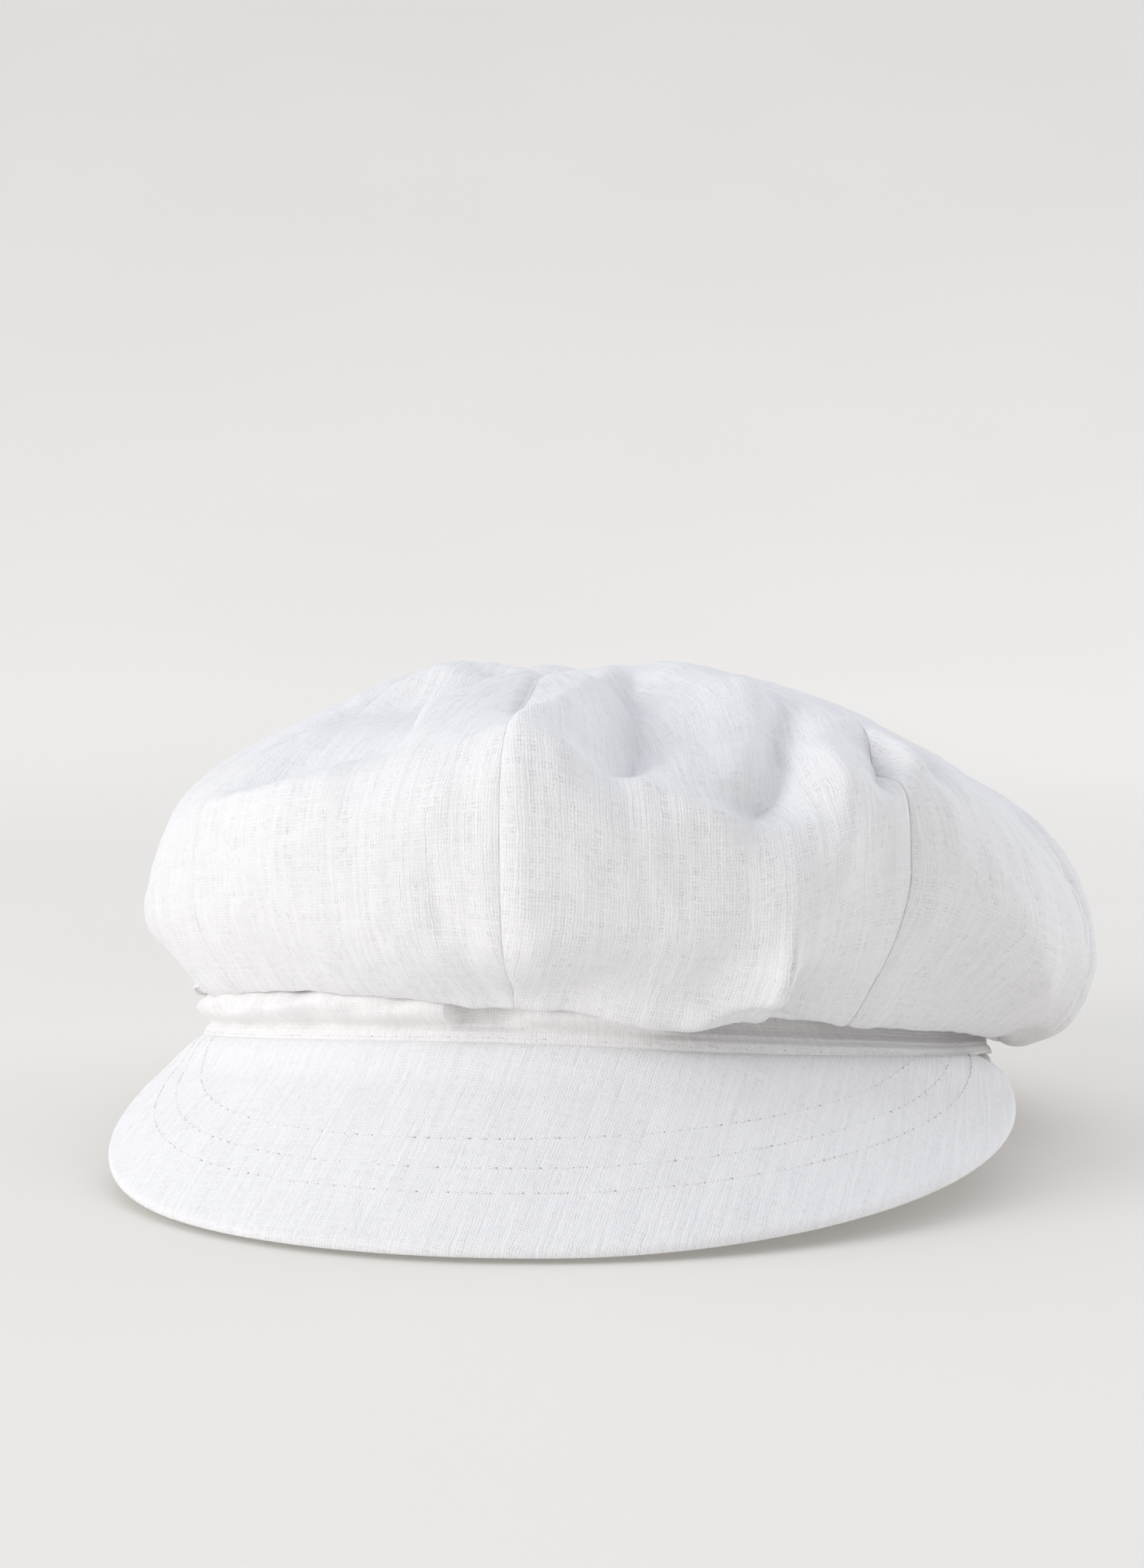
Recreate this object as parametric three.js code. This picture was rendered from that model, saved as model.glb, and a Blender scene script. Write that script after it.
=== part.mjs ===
// Eight-panel newsboy cap in white slub linen, lying on a table.
//
// Millimetres, +Z up. The table is z = 0 and the cap faces -Y, so +X is on the right of someone who
// looks at its front. The cap leans back: the edge of the peak carries the front, and the band lies on
// the table at the back. The pieces are worked out round the upright axis of the band, with angles in
// degrees from the front centre, through +X at 90, to the back at 180, and heights above the table.
// At the end the whole cap is moved so that the origin is below the middle of its box.
import * as THREE from "three";

const { degToRad, lerp, smoothstep } = THREE.MathUtils;

// Head opening: the outer face of the band is an oval of 575 mm round
const OPENING = { halfWidth: 89, halfDepth: 94 };
const FRONT_LIFT = 35.6; // height of the band's lower edge at the front
const BACK_FLATTENING = 0.6; // how much of the lean the cloth loses where it lies on the table

const BAND = { height: 18, wall: 1.6, hemHeight: 2.4, hemStand: 1.2, hemRound: 0.6, steps: 72 };
const CLOTH = 1.2; // wall of a crown panel with its seam allowances
const GAP = 0.3; // left between two pieces that are sewn together

const PEAK = {
  thickness: 3,
  centre: 7, // the peak sits a little to the right of the front seam
  halfAngle: 74,
  reach: 36.8, // how far its edge stands out from the band at the centre
  cornerReach: 2.4,
  roundness: 3.6, // higher is squarer at the corners
  leftBias: 0.42, // the left half is pulled further out than the right half
  leftLiftStart: 0.34, // share of the half at which the edge starts to leave the table
  rightLiftStart: 0,
  leftLiftPower: 3.2,
  rightLiftPower: 1.6,
  bow: 1.4, // its slope bulges by this much half way down
  steps: 44,
  rows: 4,
};

const CROWN = {
  panels: 8,
  centre: new THREE.Vector2(-11.5, -1), // where the seams meet, off the middle of the opening
  centreHeight: 99,
  eyeRadius: 13, // flat round the button
  holeRadius: 4, // the seams end here, under the button
  crestRadius: 27,
  seamDip: 1.4, // narrow groove in which a seam lies
  seamWidth: 3,
  panelPuff: 2.2, // the cloth stands out between the seams
  stepsAcross: 8,
  crowding: 0.6, // how much closer together the steps are near the seams
  stepsAlong: 30,
};

// How the cloth hangs between the places that SECTIONS gives
const HANG = {
  seamBelowTop: 1, // it is sewn on this far below the band's upper edge
  seamOut: 0.5,
  legOutShare: 0.28, // the inner leg of the overhanging fold, as a share of the fold's own distance
  legRise: 2.4,
  lowerOutShare: 0.55, // bulge of the side between the fold and the rim
  lowerHeightShare: 0.36,
  topShare: 0.47, // where topZ is measured, as a share of the way from the band to its axis
};

const BUTTON = { radius: 9, height: 5, rim: 1.6, undercut: 1, steps: 20, domeSteps: 5 };

const LINEN = { color: 0xf4f4f3, roughness: 0.92, metalness: 0 };

// Rows of a table become objects with named values
function table(columns, rows) {
  return rows.map((row) => Object.fromEntries(columns.map((name, i) => [name, row[i]])));
}

// The shape of the cap along one meridian every 22.5 degrees: seams at 0, 45, 90 and so on, and the
// middles of the panels between them. "Out" is the distance from the band's outer face.
//   sag                     how far the band's lower edge hangs below its plane
//   foldOut, foldZ          bottom of the fold that hangs over the band
//   rimOut, rimZ            widest line of the crown
//   shoulderOut, shoulderZ  where the side turns into the top
//   topZ                    height half way to the centre
//   crestZ                  height of the ring of humps round the button
const SECTIONS = table(
  ["sag", "foldOut", "foldZ", "rimOut", "rimZ", "shoulderOut", "shoulderZ", "topZ", "crestZ"],
  [
    [0.0, 4.5, 42, 15.0, 66, 11, 91, 105.0, 104.5],
    [0.8, 6.0, 39.5, 18.0, 60, 13, 84, 103.0, 104.0],
    [2.5, 4.0, 34.5, 18.0, 68, 13, 91, 106.0, 104.0],
    [2.6, 4.5, 28, 21.0, 52, 10, 80, 102.5, 102.5],
    [1.4, 9.0, 17.5, 24.5, 39, 14, 68, 95.0, 101.0],
    [0.4, 7.0, 13.5, 24.0, 38, 12, 66, 94.0, 101.0],
    [0.0, 5.5, 11, 20.0, 38, 8, 68, 94.0, 101.0],
    [0.0, 5.0, 9, 18.0, 39, 4, 70, 94.0, 101.0],
    [0.0, 4.5, 8, 16.0, 40, 2, 71, 94.0, 101.0],
    [0.0, 4.5, 9, 16.5, 40, 2, 71, 94.0, 101.0],
    [0.0, 4.0, 11, 16.0, 41, 2, 71, 94.5, 101.5],
    [0.0, 3.0, 15, 16.0, 43, 2, 71, 95.0, 102.0],
    [0.3, 3.0, 24, 15.5, 46, 3, 72, 96.5, 102.5],
    [0.8, 3.0, 31, 15.5, 51, 6, 75, 99.0, 103.0],
    [0.9, 3.5, 38, 15.0, 58, 10, 80, 102.0, 104.0],
    [0.5, 4.0, 42, 15.0, 63, 12, 86, 104.0, 105.0],
  ],
);
const SECTION_ANGLE = 360 / SECTIONS.length;

// Angle of each seam at the band and at the rim, from the front one round to the front left one
const SEAMS = table(
  ["low", "high"],
  [
    [-1, -1.8],
    [42, 46.5],
    [86, 85],
    [134, 133],
    [180, 180],
    [226, 226],
    [271, 271],
    [315, 314],
  ],
);

// Stations along a meridian, in the order in which the cloth runs from the band to the button
const STATION_NAMES = ["seam", "leg", "fold", "lower", "rim", "shoulder", "top", "crest", "eye", "hole"];
const STATION = Object.fromEntries(STATION_NAMES.map((name, number) => [name, number]));

// Dents and ridges: from one angle and station to another, half width and height in millimetres
const FOLDS = table(
  ["fromAngle", "fromStation", "toAngle", "toStation", "width", "height"],
  [
    [-2, 4.9, -2, 7.6, 5, -4.0], // pinch along the front seam
    [7, 4.8, 7, 7.2, 8, 4.5], // hump on its right
    [14, 4.9, 16, 6.9, 6, -4.0], // valley beyond the hump
    [24, 5.0, 30, 6.8, 7, 3.0], // low ridge in the middle of the front right panel
    [28, 4.7, 37, 6.6, 5, -4.0], // valley beyond it
    [36, 4.6, 41, 6.4, 7, 3.5], // ridge before the next seam
    [42, 4.7, 43, 5.9, 4, -3.0], // dents on both sides of that seam
    [51, 4.7, 51, 6.0, 5, -3.0],
    [68, 3.0, 52, 5.6, 6, 2.5], // ridge across the right panel
    [17, 1.6, 20, 3.9, 9, 3.5], // low lobe of the front right panel
    [32, 1.6, 31, 3.3, 5, -2.5], // step beside the lobe
    [-34, 4.9, -36, 6.8, 10, -3.5], // hollow of the front left panel
    [-22, 5.0, -38, 6.6, 5, 2.5], // ridge across that hollow
    [-13, 5.2, -18, 7.0, 8, -3.0], // hollow beside the front seam
    [-62, 4.9, -60, 6.5, 12, -2.5], // hollow of the left panel
    [150, 4.6, 156, 6.5, 13, -3.0], // plain dents at the back
    [-150, 4.6, -158, 6.5, 13, -3.0],
  ],
);

// The smaller angle between two directions
function turnBetween(a, b) {
  return Math.abs(THREE.MathUtils.euclideanModulo(a - b + 180, 360) - 180);
}

// Value of a column of SECTIONS at any angle, smooth and the same again after a full turn
function sectionValue(column, angle) {
  const place = THREE.MathUtils.euclideanModulo(angle, 360) / SECTION_ANGLE;
  const row = Math.floor(place);
  const t = place - row;
  const [a, b, c, d] = [-1, 0, 1, 2].map(
    (step) => SECTIONS[(row + step + SECTIONS.length) % SECTIONS.length][column],
  );
  return b + 0.5 * t * (c - a + t * (2 * a - 5 * b + 4 * c - d + t * (3 * (b - c) + d - a)));
}

// Point in plan on the outer face of the band, moved outwards by a distance
function planPoint(angle, out) {
  const point = new THREE.Vector2(
    OPENING.halfWidth * Math.sin(degToRad(angle)),
    -OPENING.halfDepth * Math.cos(degToRad(angle)),
  );
  return point.multiplyScalar(1 + out / point.length());
}

function bandRadius(angle) {
  return planPoint(angle, 0).length();
}

// Height of the band's lower edge: a leaning plane, flattened on the table at the back
function bandEdge(angle) {
  const lean = (FRONT_LIFT * (1 + Math.cos(degToRad(angle)))) / 2;
  return Math.max(0, lean - sectionValue("sag", angle) - BACK_FLATTENING);
}

function raised(plan, height) {
  return new THREE.Vector3(plan.x, plan.y, height);
}

// Distance out and height of the cloth along one meridian, at each station
function stations(angle) {
  const value = (column) => sectionValue(column, angle);
  const radius = bandRadius(angle);
  const lowerOut = lerp(value("foldOut"), value("rimOut"), HANG.lowerOutShare);
  const lowerZ = lerp(value("foldZ"), value("rimZ"), HANG.lowerHeightShare);
  return [
    [HANG.seamOut, bandEdge(angle) + BAND.height - HANG.seamBelowTop],
    [GAP + HANG.legOutShare * value("foldOut"), value("foldZ") + HANG.legRise],
    [value("foldOut"), value("foldZ")],
    [lowerOut, lowerZ],
    [value("rimOut"), value("rimZ")],
    [value("shoulderOut"), value("shoulderZ")],
    [-HANG.topShare * radius, value("topZ")],
    [CROWN.crestRadius - radius, value("crestZ")],
    [CROWN.eyeRadius - radius, CROWN.centreHeight],
    [CROWN.holeRadius - radius, CROWN.centreHeight],
  ].map(([out, height]) => new THREE.Vector3(out, 0, height));
}

// How far the folds lift the cloth at an angle and station, at a distance from the crown's axis
function foldHeight(angle, station, radius) {
  let height = 0;
  for (const fold of FOLDS) {
    const t = (station - fold.fromStation) / (fold.toStation - fold.fromStation);
    if (t <= 0 || t >= 1) continue;
    const middle = lerp(fold.fromAngle, fold.toAngle, t);
    const aside = degToRad(turnBetween(angle, middle)) * radius;
    height += fold.height * Math.sin(Math.PI * t) * Math.exp(-((aside / fold.width) ** 2));
  }
  return height;
}

// Angle of a seam at a station: the cloth has shifted a little, so not every seam is plumb
function seamAngle(number, station) {
  const seam = SEAMS[number % CROWN.panels];
  const angle = lerp(seam.low, seam.high, smoothstep(station, STATION.fold, STATION.rim));
  return angle + 360 * Math.floor(number / CROWN.panels);
}

// The seams pull the cloth in and the panels puff out between them, apart from the flat eye
function seamDip(angle, station, radius) {
  const nearest = Math.min(...SEAMS.map((_, number) => turnBetween(angle, seamAngle(number, station))));
  const groove = CROWN.seamDip * Math.exp(-(((degToRad(nearest) * radius) / CROWN.seamWidth) ** 2));
  const puff = CROWN.panelPuff * (Math.min(1, nearest / (180 / CROWN.panels)) - 0.5);
  const fade = 1 - smoothstep(station, STATION.crest, STATION.eye);
  return fade * smoothstep(station, STATION.fold, STATION.rim) * (groove - puff);
}

// A point on the outside of the crown
function crownPoint(angle, station) {
  const curve = new THREE.CatmullRomCurve3(stations(angle), false, "centripetal");
  const here = curve.getPoint(station / STATION.hole);
  const along = curve.getTangent(station / STATION.hole);
  const radius = bandRadius(angle) + here.x;
  const lift = foldHeight(angle, station, radius) - seamDip(angle, station, radius);
  const out = here.x + along.z * lift;
  const height = here.z - along.x * lift;
  return raised(planPoint(angle, out).add(crownShift(angle, station, out)), height);
}

// How far the crown has slid sideways: not at the rim, and all the way where the seams meet
function crownShift(angle, station, out) {
  const rim = sectionValue("rimOut", angle);
  const inward = THREE.MathUtils.clamp((rim - out) / (rim + bandRadius(angle)), 0, 1);
  return CROWN.centre.clone().multiplyScalar(inward * smoothstep(station, STATION.lower, STATION.shoulder));
}

// The point on the inner face of the cloth behind a point of the crown
function crownBehind(angle, station) {
  const step = 0.02;
  const across = crownPoint(angle + step, station).sub(crownPoint(angle - step, station));
  const from = Math.max(0, station - step);
  const to = Math.min(STATION.hole, station + step);
  const along = crownPoint(angle, to).sub(crownPoint(angle, from));
  const outward = across.cross(along).normalize();
  return crownPoint(angle, station).addScaledVector(outward, -CLOTH);
}

// One closed body from two grids of points that face each other: front[i][j] and back[i][j].
// With wraps, the last row joins the first.
function closedSheet(front, back, wraps = false) {
  const rows = front.length;
  const columns = front[0].length;
  const points = [...front.flat(), ...back.flat()];
  const faces = [];
  const at = (side, i, j) => side * rows * columns + (i % rows) * columns + j;
  const quad = (a, b, c, d) => faces.push(a, b, c, a, c, d);
  const spans = wraps ? rows : rows - 1;
  for (let i = 0; i < spans; i++) {
    for (let j = 0; j < columns - 1; j++) {
      quad(at(0, i, j), at(0, i + 1, j), at(0, i + 1, j + 1), at(0, i, j + 1));
      quad(at(1, i, j), at(1, i, j + 1), at(1, i + 1, j + 1), at(1, i + 1, j));
    }
    const last = columns - 1;
    quad(at(0, i, 0), at(1, i, 0), at(1, i + 1, 0), at(0, i + 1, 0));
    quad(at(0, i, last), at(0, i + 1, last), at(1, i + 1, last), at(1, i, last));
  }
  if (!wraps) {
    const last = rows - 1;
    for (let j = 0; j < columns - 1; j++) {
      quad(at(0, 0, j), at(0, 0, j + 1), at(1, 0, j + 1), at(1, 0, j));
      quad(at(0, last, j), at(1, last, j), at(1, last, j + 1), at(0, last, j + 1));
    }
  }
  const geometry = new THREE.BufferGeometry().setFromPoints(points);
  geometry.setIndex(faces);
  geometry.computeVertexNormals();
  return geometry;
}

function grid(rows, columns, pointAt) {
  return Array.from({ length: rows }, (_, i) => Array.from({ length: columns }, (_, j) => pointAt(i, j)));
}

// One crown panel, between two seams and from the band to the button
function crownPanel(number) {
  const place = (i, j) => {
    const station = (STATION.hole * j) / CROWN.stepsAlong;
    const left = seamAngle(number, station);
    const right = seamAngle(number + 1, station);
    const axis = raised(CROWN.centre, 0).multiplyScalar(smoothstep(station, STATION.rim, STATION.crest));
    const radius = crownPoint((left + right) / 2, station).sub(axis).setZ(0).length();
    const inset = THREE.MathUtils.radToDeg((0.5 * GAP) / radius);
    const from = left + inset;
    const to = right - inset;
    const share = 0.5 - 0.5 * Math.cos((Math.PI * i) / CROWN.stepsAcross);
    return [lerp(from, to, lerp(i / CROWN.stepsAcross, share, CROWN.crowding)), station];
  };
  const rows = CROWN.stepsAcross + 1;
  const columns = CROWN.stepsAlong + 1;
  const front = grid(rows, columns, (i, j) => crownPoint(...place(i, j)));
  const back = grid(rows, columns, (i, j) => crownBehind(...place(i, j)));
  return closedSheet(front, back);
}

// The band, with the thicker turned hem along its lower edge: distance out and height of its outside
const BAND_PROFILE = [
  [BAND.hemStand - BAND.hemRound, 0],
  [BAND.hemStand, BAND.hemRound],
  [BAND.hemStand, BAND.hemHeight - BAND.hemRound],
  [0, BAND.hemHeight],
  [0, BAND.height],
];

function band() {
  const place = (i, out, height) => {
    const angle = (360 * i) / BAND.steps;
    return raised(planPoint(angle, out), bandEdge(angle) + height);
  };
  const front = grid(BAND.steps, BAND_PROFILE.length, (i, j) => place(i, ...BAND_PROFILE[j]));
  const back = grid(BAND.steps, BAND_PROFILE.length, (i, j) => place(i, -BAND.wall, BAND_PROFILE[j][1]));
  return closedSheet(front, back, true);
}

// How far the peak's edge stands out from the band, t from -1 at its left corner to 1 at its right
function peakReach(t) {
  const crescent = (1 - Math.abs(t) ** PEAK.roundness) * (1 - PEAK.leftBias * t);
  return Math.max(PEAK.cornerReach, PEAK.reach * crescent);
}

// Height of the underside of the peak's edge: on the table, and rising to the band at both corners
function peakEdgeHeight(t) {
  const start = t < 0 ? PEAK.leftLiftStart : PEAK.rightLiftStart;
  const power = t < 0 ? PEAK.leftLiftPower : PEAK.rightLiftPower;
  const share = Math.max(0, (Math.abs(t) - start) / (1 - start));
  return peakSeamHeight(peakAngle(Math.sign(t))) * share ** power;
}

// Height of the underside of the peak where it is sewn under the band
function peakSeamHeight(angle) {
  return bandEdge(angle) - GAP - PEAK.thickness;
}

function peakAngle(t) {
  return PEAK.centre + t * PEAK.halfAngle;
}

// The peak: a stiff crescent that slopes from under the band's hem down to the table
function peak() {
  const seat = -BAND.wall; // its inner edge lies under the band
  const lower = (t, share) => {
    const angle = peakAngle(t);
    const plan = planPoint(angle, lerp(seat, peakReach(t), share));
    const bow = PEAK.bow * Math.sin(Math.PI * share) * (1 - t ** 4);
    return raised(plan, lerp(peakSeamHeight(angle), peakEdgeHeight(t), share) + bow);
  };
  const slope = (t) => {
    const run = peakReach(t) - seat;
    const drop = lower(t, 0).z - lower(t, 1).z;
    return Math.atan2(drop, run);
  };
  const upper = (t, share) => {
    const lean = slope(t);
    const out = lerp(seat, peakReach(t), share) + PEAK.thickness * Math.sin(lean) * share;
    const height = lower(t, share).z + PEAK.thickness * lerp(1, Math.cos(lean), share);
    return raised(planPoint(peakAngle(t), out), height);
  };
  const rows = PEAK.steps + 1;
  const place = (i) => Math.sin((Math.PI / 2) * ((2 * i) / PEAK.steps - 1));
  const top = grid(rows, PEAK.rows + 1, (i, j) => upper(place(i), j / PEAK.rows));
  const underside = grid(rows, PEAK.rows + 1, (i, j) => lower(place(i), j / PEAK.rows));
  return closedSheet(underside, top);
}

// Covered button where the seams meet
function button() {
  const { radius, height, rim, undercut, domeSteps } = BUTTON;
  const profile = [new THREE.Vector2(0, 0), new THREE.Vector2(radius - undercut, 0)];
  for (let step = 0; step < domeSteps; step++) {
    const turn = (Math.PI / 2) * (step / domeSteps);
    profile.push(new THREE.Vector2(radius * Math.cos(turn), rim + (height - rim) * Math.sin(turn)));
  }
  profile.push(new THREE.Vector2(0, height));
  return new THREE.LatheGeometry(profile, BUTTON.steps).rotateX(Math.PI / 2);
}

function piece(name, geometry) {
  const mesh = new THREE.Mesh(geometry, new THREE.MeshStandardMaterial(LINEN));
  mesh.name = name;
  return mesh;
}

const PANEL_NAMES = [
  "crown_panel_front_right",
  "crown_panel_right_front",
  "crown_panel_right_back",
  "crown_panel_back_right",
  "crown_panel_back_left",
  "crown_panel_left_back",
  "crown_panel_left_front",
  "crown_panel_front_left",
];

const cap = new THREE.Group();
cap.name = "newsboy_cap";
PANEL_NAMES.forEach((name, number) => cap.add(piece(name, crownPanel(number))));
cap.add(piece("band", band()));
cap.add(piece("peak", peak()));
const coveredButton = piece("crown_button", button());
coveredButton.position.set(CROWN.centre.x, CROWN.centre.y, CROWN.centreHeight + GAP);
cap.add(coveredButton);

// The origin is on the table, below the middle of the cap
const room = new THREE.Box3().setFromObject(cap, true);
const middle = room.getCenter(new THREE.Vector3());
cap.position.set(-middle.x, -middle.y, -room.min.z);

export default cap;
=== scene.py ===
# %% [markdown]
# # A newsboy cap in white slub linen
#
# The cap has eight crown panels that meet under a covered button, a band with a turned hem, and a
# stiff peak with three rows of stitches. It lies on a table and leans back. The packed solids are
# the frame: they fix where everything is and how big it is. This script dresses each of them in
# cloth, so it keeps the same measures and adds folds, seams, stitches and the weave. Modelling the
# cloth as grids of points worked out by formulas suits a thing that is cut from flat panels,
# because the two directions of a grid are also the two directions of the threads.

import math

import bpy
import numpy as np
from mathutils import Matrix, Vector


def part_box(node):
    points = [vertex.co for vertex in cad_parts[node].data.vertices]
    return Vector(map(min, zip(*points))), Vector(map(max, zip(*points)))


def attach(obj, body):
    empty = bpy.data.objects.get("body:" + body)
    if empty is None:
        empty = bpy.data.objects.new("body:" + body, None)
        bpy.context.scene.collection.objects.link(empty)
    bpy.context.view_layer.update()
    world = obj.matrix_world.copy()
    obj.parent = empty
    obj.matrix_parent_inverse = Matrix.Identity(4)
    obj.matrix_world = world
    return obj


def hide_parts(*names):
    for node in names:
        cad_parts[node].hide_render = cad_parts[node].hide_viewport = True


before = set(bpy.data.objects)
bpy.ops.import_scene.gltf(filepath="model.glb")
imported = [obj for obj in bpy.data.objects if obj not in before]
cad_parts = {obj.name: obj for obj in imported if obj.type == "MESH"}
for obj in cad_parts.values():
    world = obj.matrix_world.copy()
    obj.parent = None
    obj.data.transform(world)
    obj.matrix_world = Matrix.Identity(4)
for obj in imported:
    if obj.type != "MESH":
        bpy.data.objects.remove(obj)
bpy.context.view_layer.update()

# %% [markdown]
# ## The camera
#
# The photograph was taken from a little above the table, slightly to the right of the cap's front,
# with a long lens. A long lens keeps the near edge of the peak from looking too large. The camera
# is aimed with two turns: one round the upright axis and one downwards.

# %% Camera
CAMERA_PLACE = (0.0943, -0.6287, 0.1378)
CAMERA_TURN = 9.33  # degrees to the left of straight ahead
CAMERA_TILT = 5.36  # degrees below the horizon
LENS = 65  # millimetres, on a sensor whose long side is 36

camera_data = bpy.data.cameras.new("camera")
camera_data.lens = LENS
camera_data.sensor_width = 36
camera = bpy.data.objects.new("camera", camera_data)
camera.location = CAMERA_PLACE
camera.rotation_euler = (math.radians(90 - CAMERA_TILT), 0, math.radians(CAMERA_TURN))
bpy.context.scene.collection.objects.link(camera)
bpy.context.scene.camera = camera
print("camera at", CAMERA_PLACE)

# %% [markdown]
# ## Measures of the cap
#
# The numbers below are the cap's own, in millimetres, round the upright axis of the band: angles
# in degrees from the front centre, through the right side at 90, to the back at 180. Most are the
# ones that the solids were made from. The cloth has a thickness of its own, rides up a little on
# the right, and its seams run a little differently. The middle of the band in the frame says where
# the axis is, so nothing has to be fitted by eye.

# %% Axis and sizes
MM = 0.001
HEM_STAND = 1.2  # how far the turned hem stands out from the band

band_low, band_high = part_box("band")
AXIS = np.array([(band_low.x + band_high.x) / 2, (band_low.y + band_high.y) / 2, 0.0])
HALF_WIDTH = (band_high.x - band_low.x) / 2 / MM - HEM_STAND
HALF_DEPTH = (band_high.y - band_low.y) / 2 / MM - HEM_STAND
print(f"head opening {2 * HALF_WIDTH:.1f} by {2 * HALF_DEPTH:.1f} mm, axis at {AXIS.round(4)}")

FRONT_LIFT = 35.6  # height of the band's lower edge at the front
BACK_FLATTENING = 0.6
RIDE = [18, 52, 80, 108]  # angles between which the band rides up on the right
RIDE_UP = 1.8
BAND = {"height": 18, "wall": 1.6, "hem": 2.4}
PEAK = {
    "thickness": 3,
    "centre": 7,
    "half_angle": 74,
    "reach": 36.8,
    "corner_reach": 2.4,
    "roundness": 3.6,
    "left_bias": 0.42,
    "left_lift_start": 0.34,
    "left_lift_power": 3.2,
    "right_lift_power": 1.6,
    "bow": 1.4,
}
GAP = 0.3  # between two pieces that are sewn together
CLOTH = 0.9  # thickness of the crown's linen
CROWN_CENTRE = np.array([-11.5, -1.0, 0.0])
CENTRE_HEIGHT = 99
EYE_RADIUS = 13
HOLE_RADIUS = 4
CREST_RADIUS = 27
PANELS = 8

# How the cloth hangs between the places that SECTIONS gives
HANG = {
    "seam_below_top": 1,  # it is sewn on this far below the band's upper edge
    "seam_out": 0.5,
    "leg_out": 0.28,  # inner leg of the fold over the band, as a share of the fold's own distance
    "leg_rise": 2.4,
    "lower_out": 0.55,  # bulge of the side between the fold and the rim
    "lower_height": 0.36,
    "top": 0.47,  # where top_z is measured, as a share of the way from the band to its axis
}


def table(columns, rows):
    """A table of numbers as a dictionary of columns."""
    return dict(zip(columns, np.array(rows, float).T))


# The cap along one meridian every 22.5 degrees, as distances out from the band and heights
SECTIONS = table(
    ["sag", "fold_out", "fold_z", "rim_out", "rim_z", "shoulder_out", "shoulder_z", "top_z", "crest_z"],
    [
        [0.0, 4.5, 42, 15.0, 66, 11, 91, 105.0, 104.5],
        [0.8, 6.0, 39.5, 18.0, 60, 13, 84, 103.0, 104.0],
        [2.5, 4.0, 34.5, 18.0, 68, 13, 91, 106.0, 104.0],
        [2.6, 4.5, 28, 21.0, 52, 10, 80, 102.5, 102.5],
        [1.4, 9.0, 17.5, 24.5, 39, 14, 68, 95.0, 101.0],
        [0.4, 7.0, 13.5, 24.0, 38, 12, 66, 94.0, 101.0],
        [0.0, 5.5, 11, 20.0, 38, 8, 68, 94.0, 101.0],
        [0.0, 5.0, 9, 18.0, 39, 4, 70, 94.0, 101.0],
        [0.0, 4.5, 8, 16.0, 40, 2, 71, 94.0, 101.0],
        [0.0, 4.5, 9, 16.5, 40, 2, 71, 94.0, 101.0],
        [0.0, 4.0, 11, 16.0, 41, 2, 71, 94.5, 101.5],
        [0.0, 3.0, 15, 16.0, 43, 2, 71, 95.0, 102.0],
        [0.3, 3.0, 24, 15.5, 46, 3, 72, 96.5, 102.5],
        [0.8, 3.0, 31, 15.5, 51, 6, 75, 99.0, 103.0],
        [0.9, 3.5, 38, 15.0, 58, 10, 80, 102.0, 104.0],
        [0.5, 4.0, 42, 15.0, 63, 12, 86, 104.0, 105.0],
    ],
)
SECTION_ANGLE = 22.5

# Each seam from the front one round to the front left one: its angle at the band and at the rim,
# how deeply it pulls the cloth in, and how far it wanders to the right on top
SEAMS = table(
    ["low", "high", "pull", "bend"],
    [
        [-1, -0.8, 0.3, 2.5],
        [42, 45.3, 0.8, 13],
        [86, 85, 1.2, 0],
        [134, 133, 1, 0],
        [180, 180, 1, 0],
        [226, 226, 1, 0],
        [271, 271, 0.8, 0],
        [315, 314, 0.2, 0],
    ],
)
print(len(SECTIONS["sag"]), "sections and", len(SEAMS["low"]), "seams")

# %% [markdown]
# ## Curves through the sections
#
# A table with sixteen rows is enough for a smooth crown when the values between the rows follow a
# Catmull-Rom curve. A few helpers serve every piece of the cap: a soft step, a soft window, a mix
# of two values, and the way from an angle and a distance to a point in plan.

# %% Sections
def smoothstep(x, low, high):
    t = np.clip((x - low) / (high - low), 0, 1)
    return t * t * (3 - 2 * t)


def window(x, start, full, fade, end):
    """Rises from 0 to 1 between the first two places and falls back between the last two."""
    return smoothstep(x, start, full) * (1 - smoothstep(x, fade, end))


def mix(a, b, share):
    return a + (b - a) * share


def grid_points(x, y, z):
    """One grid of points from three arrays that fit together."""
    return np.stack(np.broadcast_arrays(x, y, z), -1)


def section(column, angle):
    """Value of a column of SECTIONS at any angle, the same again after a full turn."""
    values = SECTIONS[column]
    place = np.mod(angle, 360) / SECTION_ANGLE
    row = np.floor(place).astype(int)
    t = place - row
    a, b, c, d = (values[(row + step) % len(values)] for step in (-1, 0, 1, 2))
    return b + 0.5 * t * (c - a + t * (2 * a - 5 * b + 4 * c - d + t * (3 * (b - c) + d - a)))


def plan(angle, out):
    """Point above the table plane at a distance out from the band's outer face, in plan."""
    x = HALF_WIDTH * np.sin(np.radians(angle))
    y = -HALF_DEPTH * np.cos(np.radians(angle))
    scale = 1 + out / np.hypot(x, y)
    return x * scale, y * scale


def band_radius(angle):
    return np.hypot(*plan(angle, 0))


def band_edge(angle):
    """Height of the band's lower edge: a leaning plane, flattened on the table at the back."""
    lean = FRONT_LIFT * (1 + np.cos(np.radians(angle))) / 2
    rides = window(np.mod(angle, 360), *RIDE)
    return np.maximum(0, lean - section("sag", angle) - BACK_FLATTENING) + RIDE_UP * rides


print("band's lower edge in front and behind:", band_edge(np.array([0.0, 180.0])).round(1), "mm")

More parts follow.
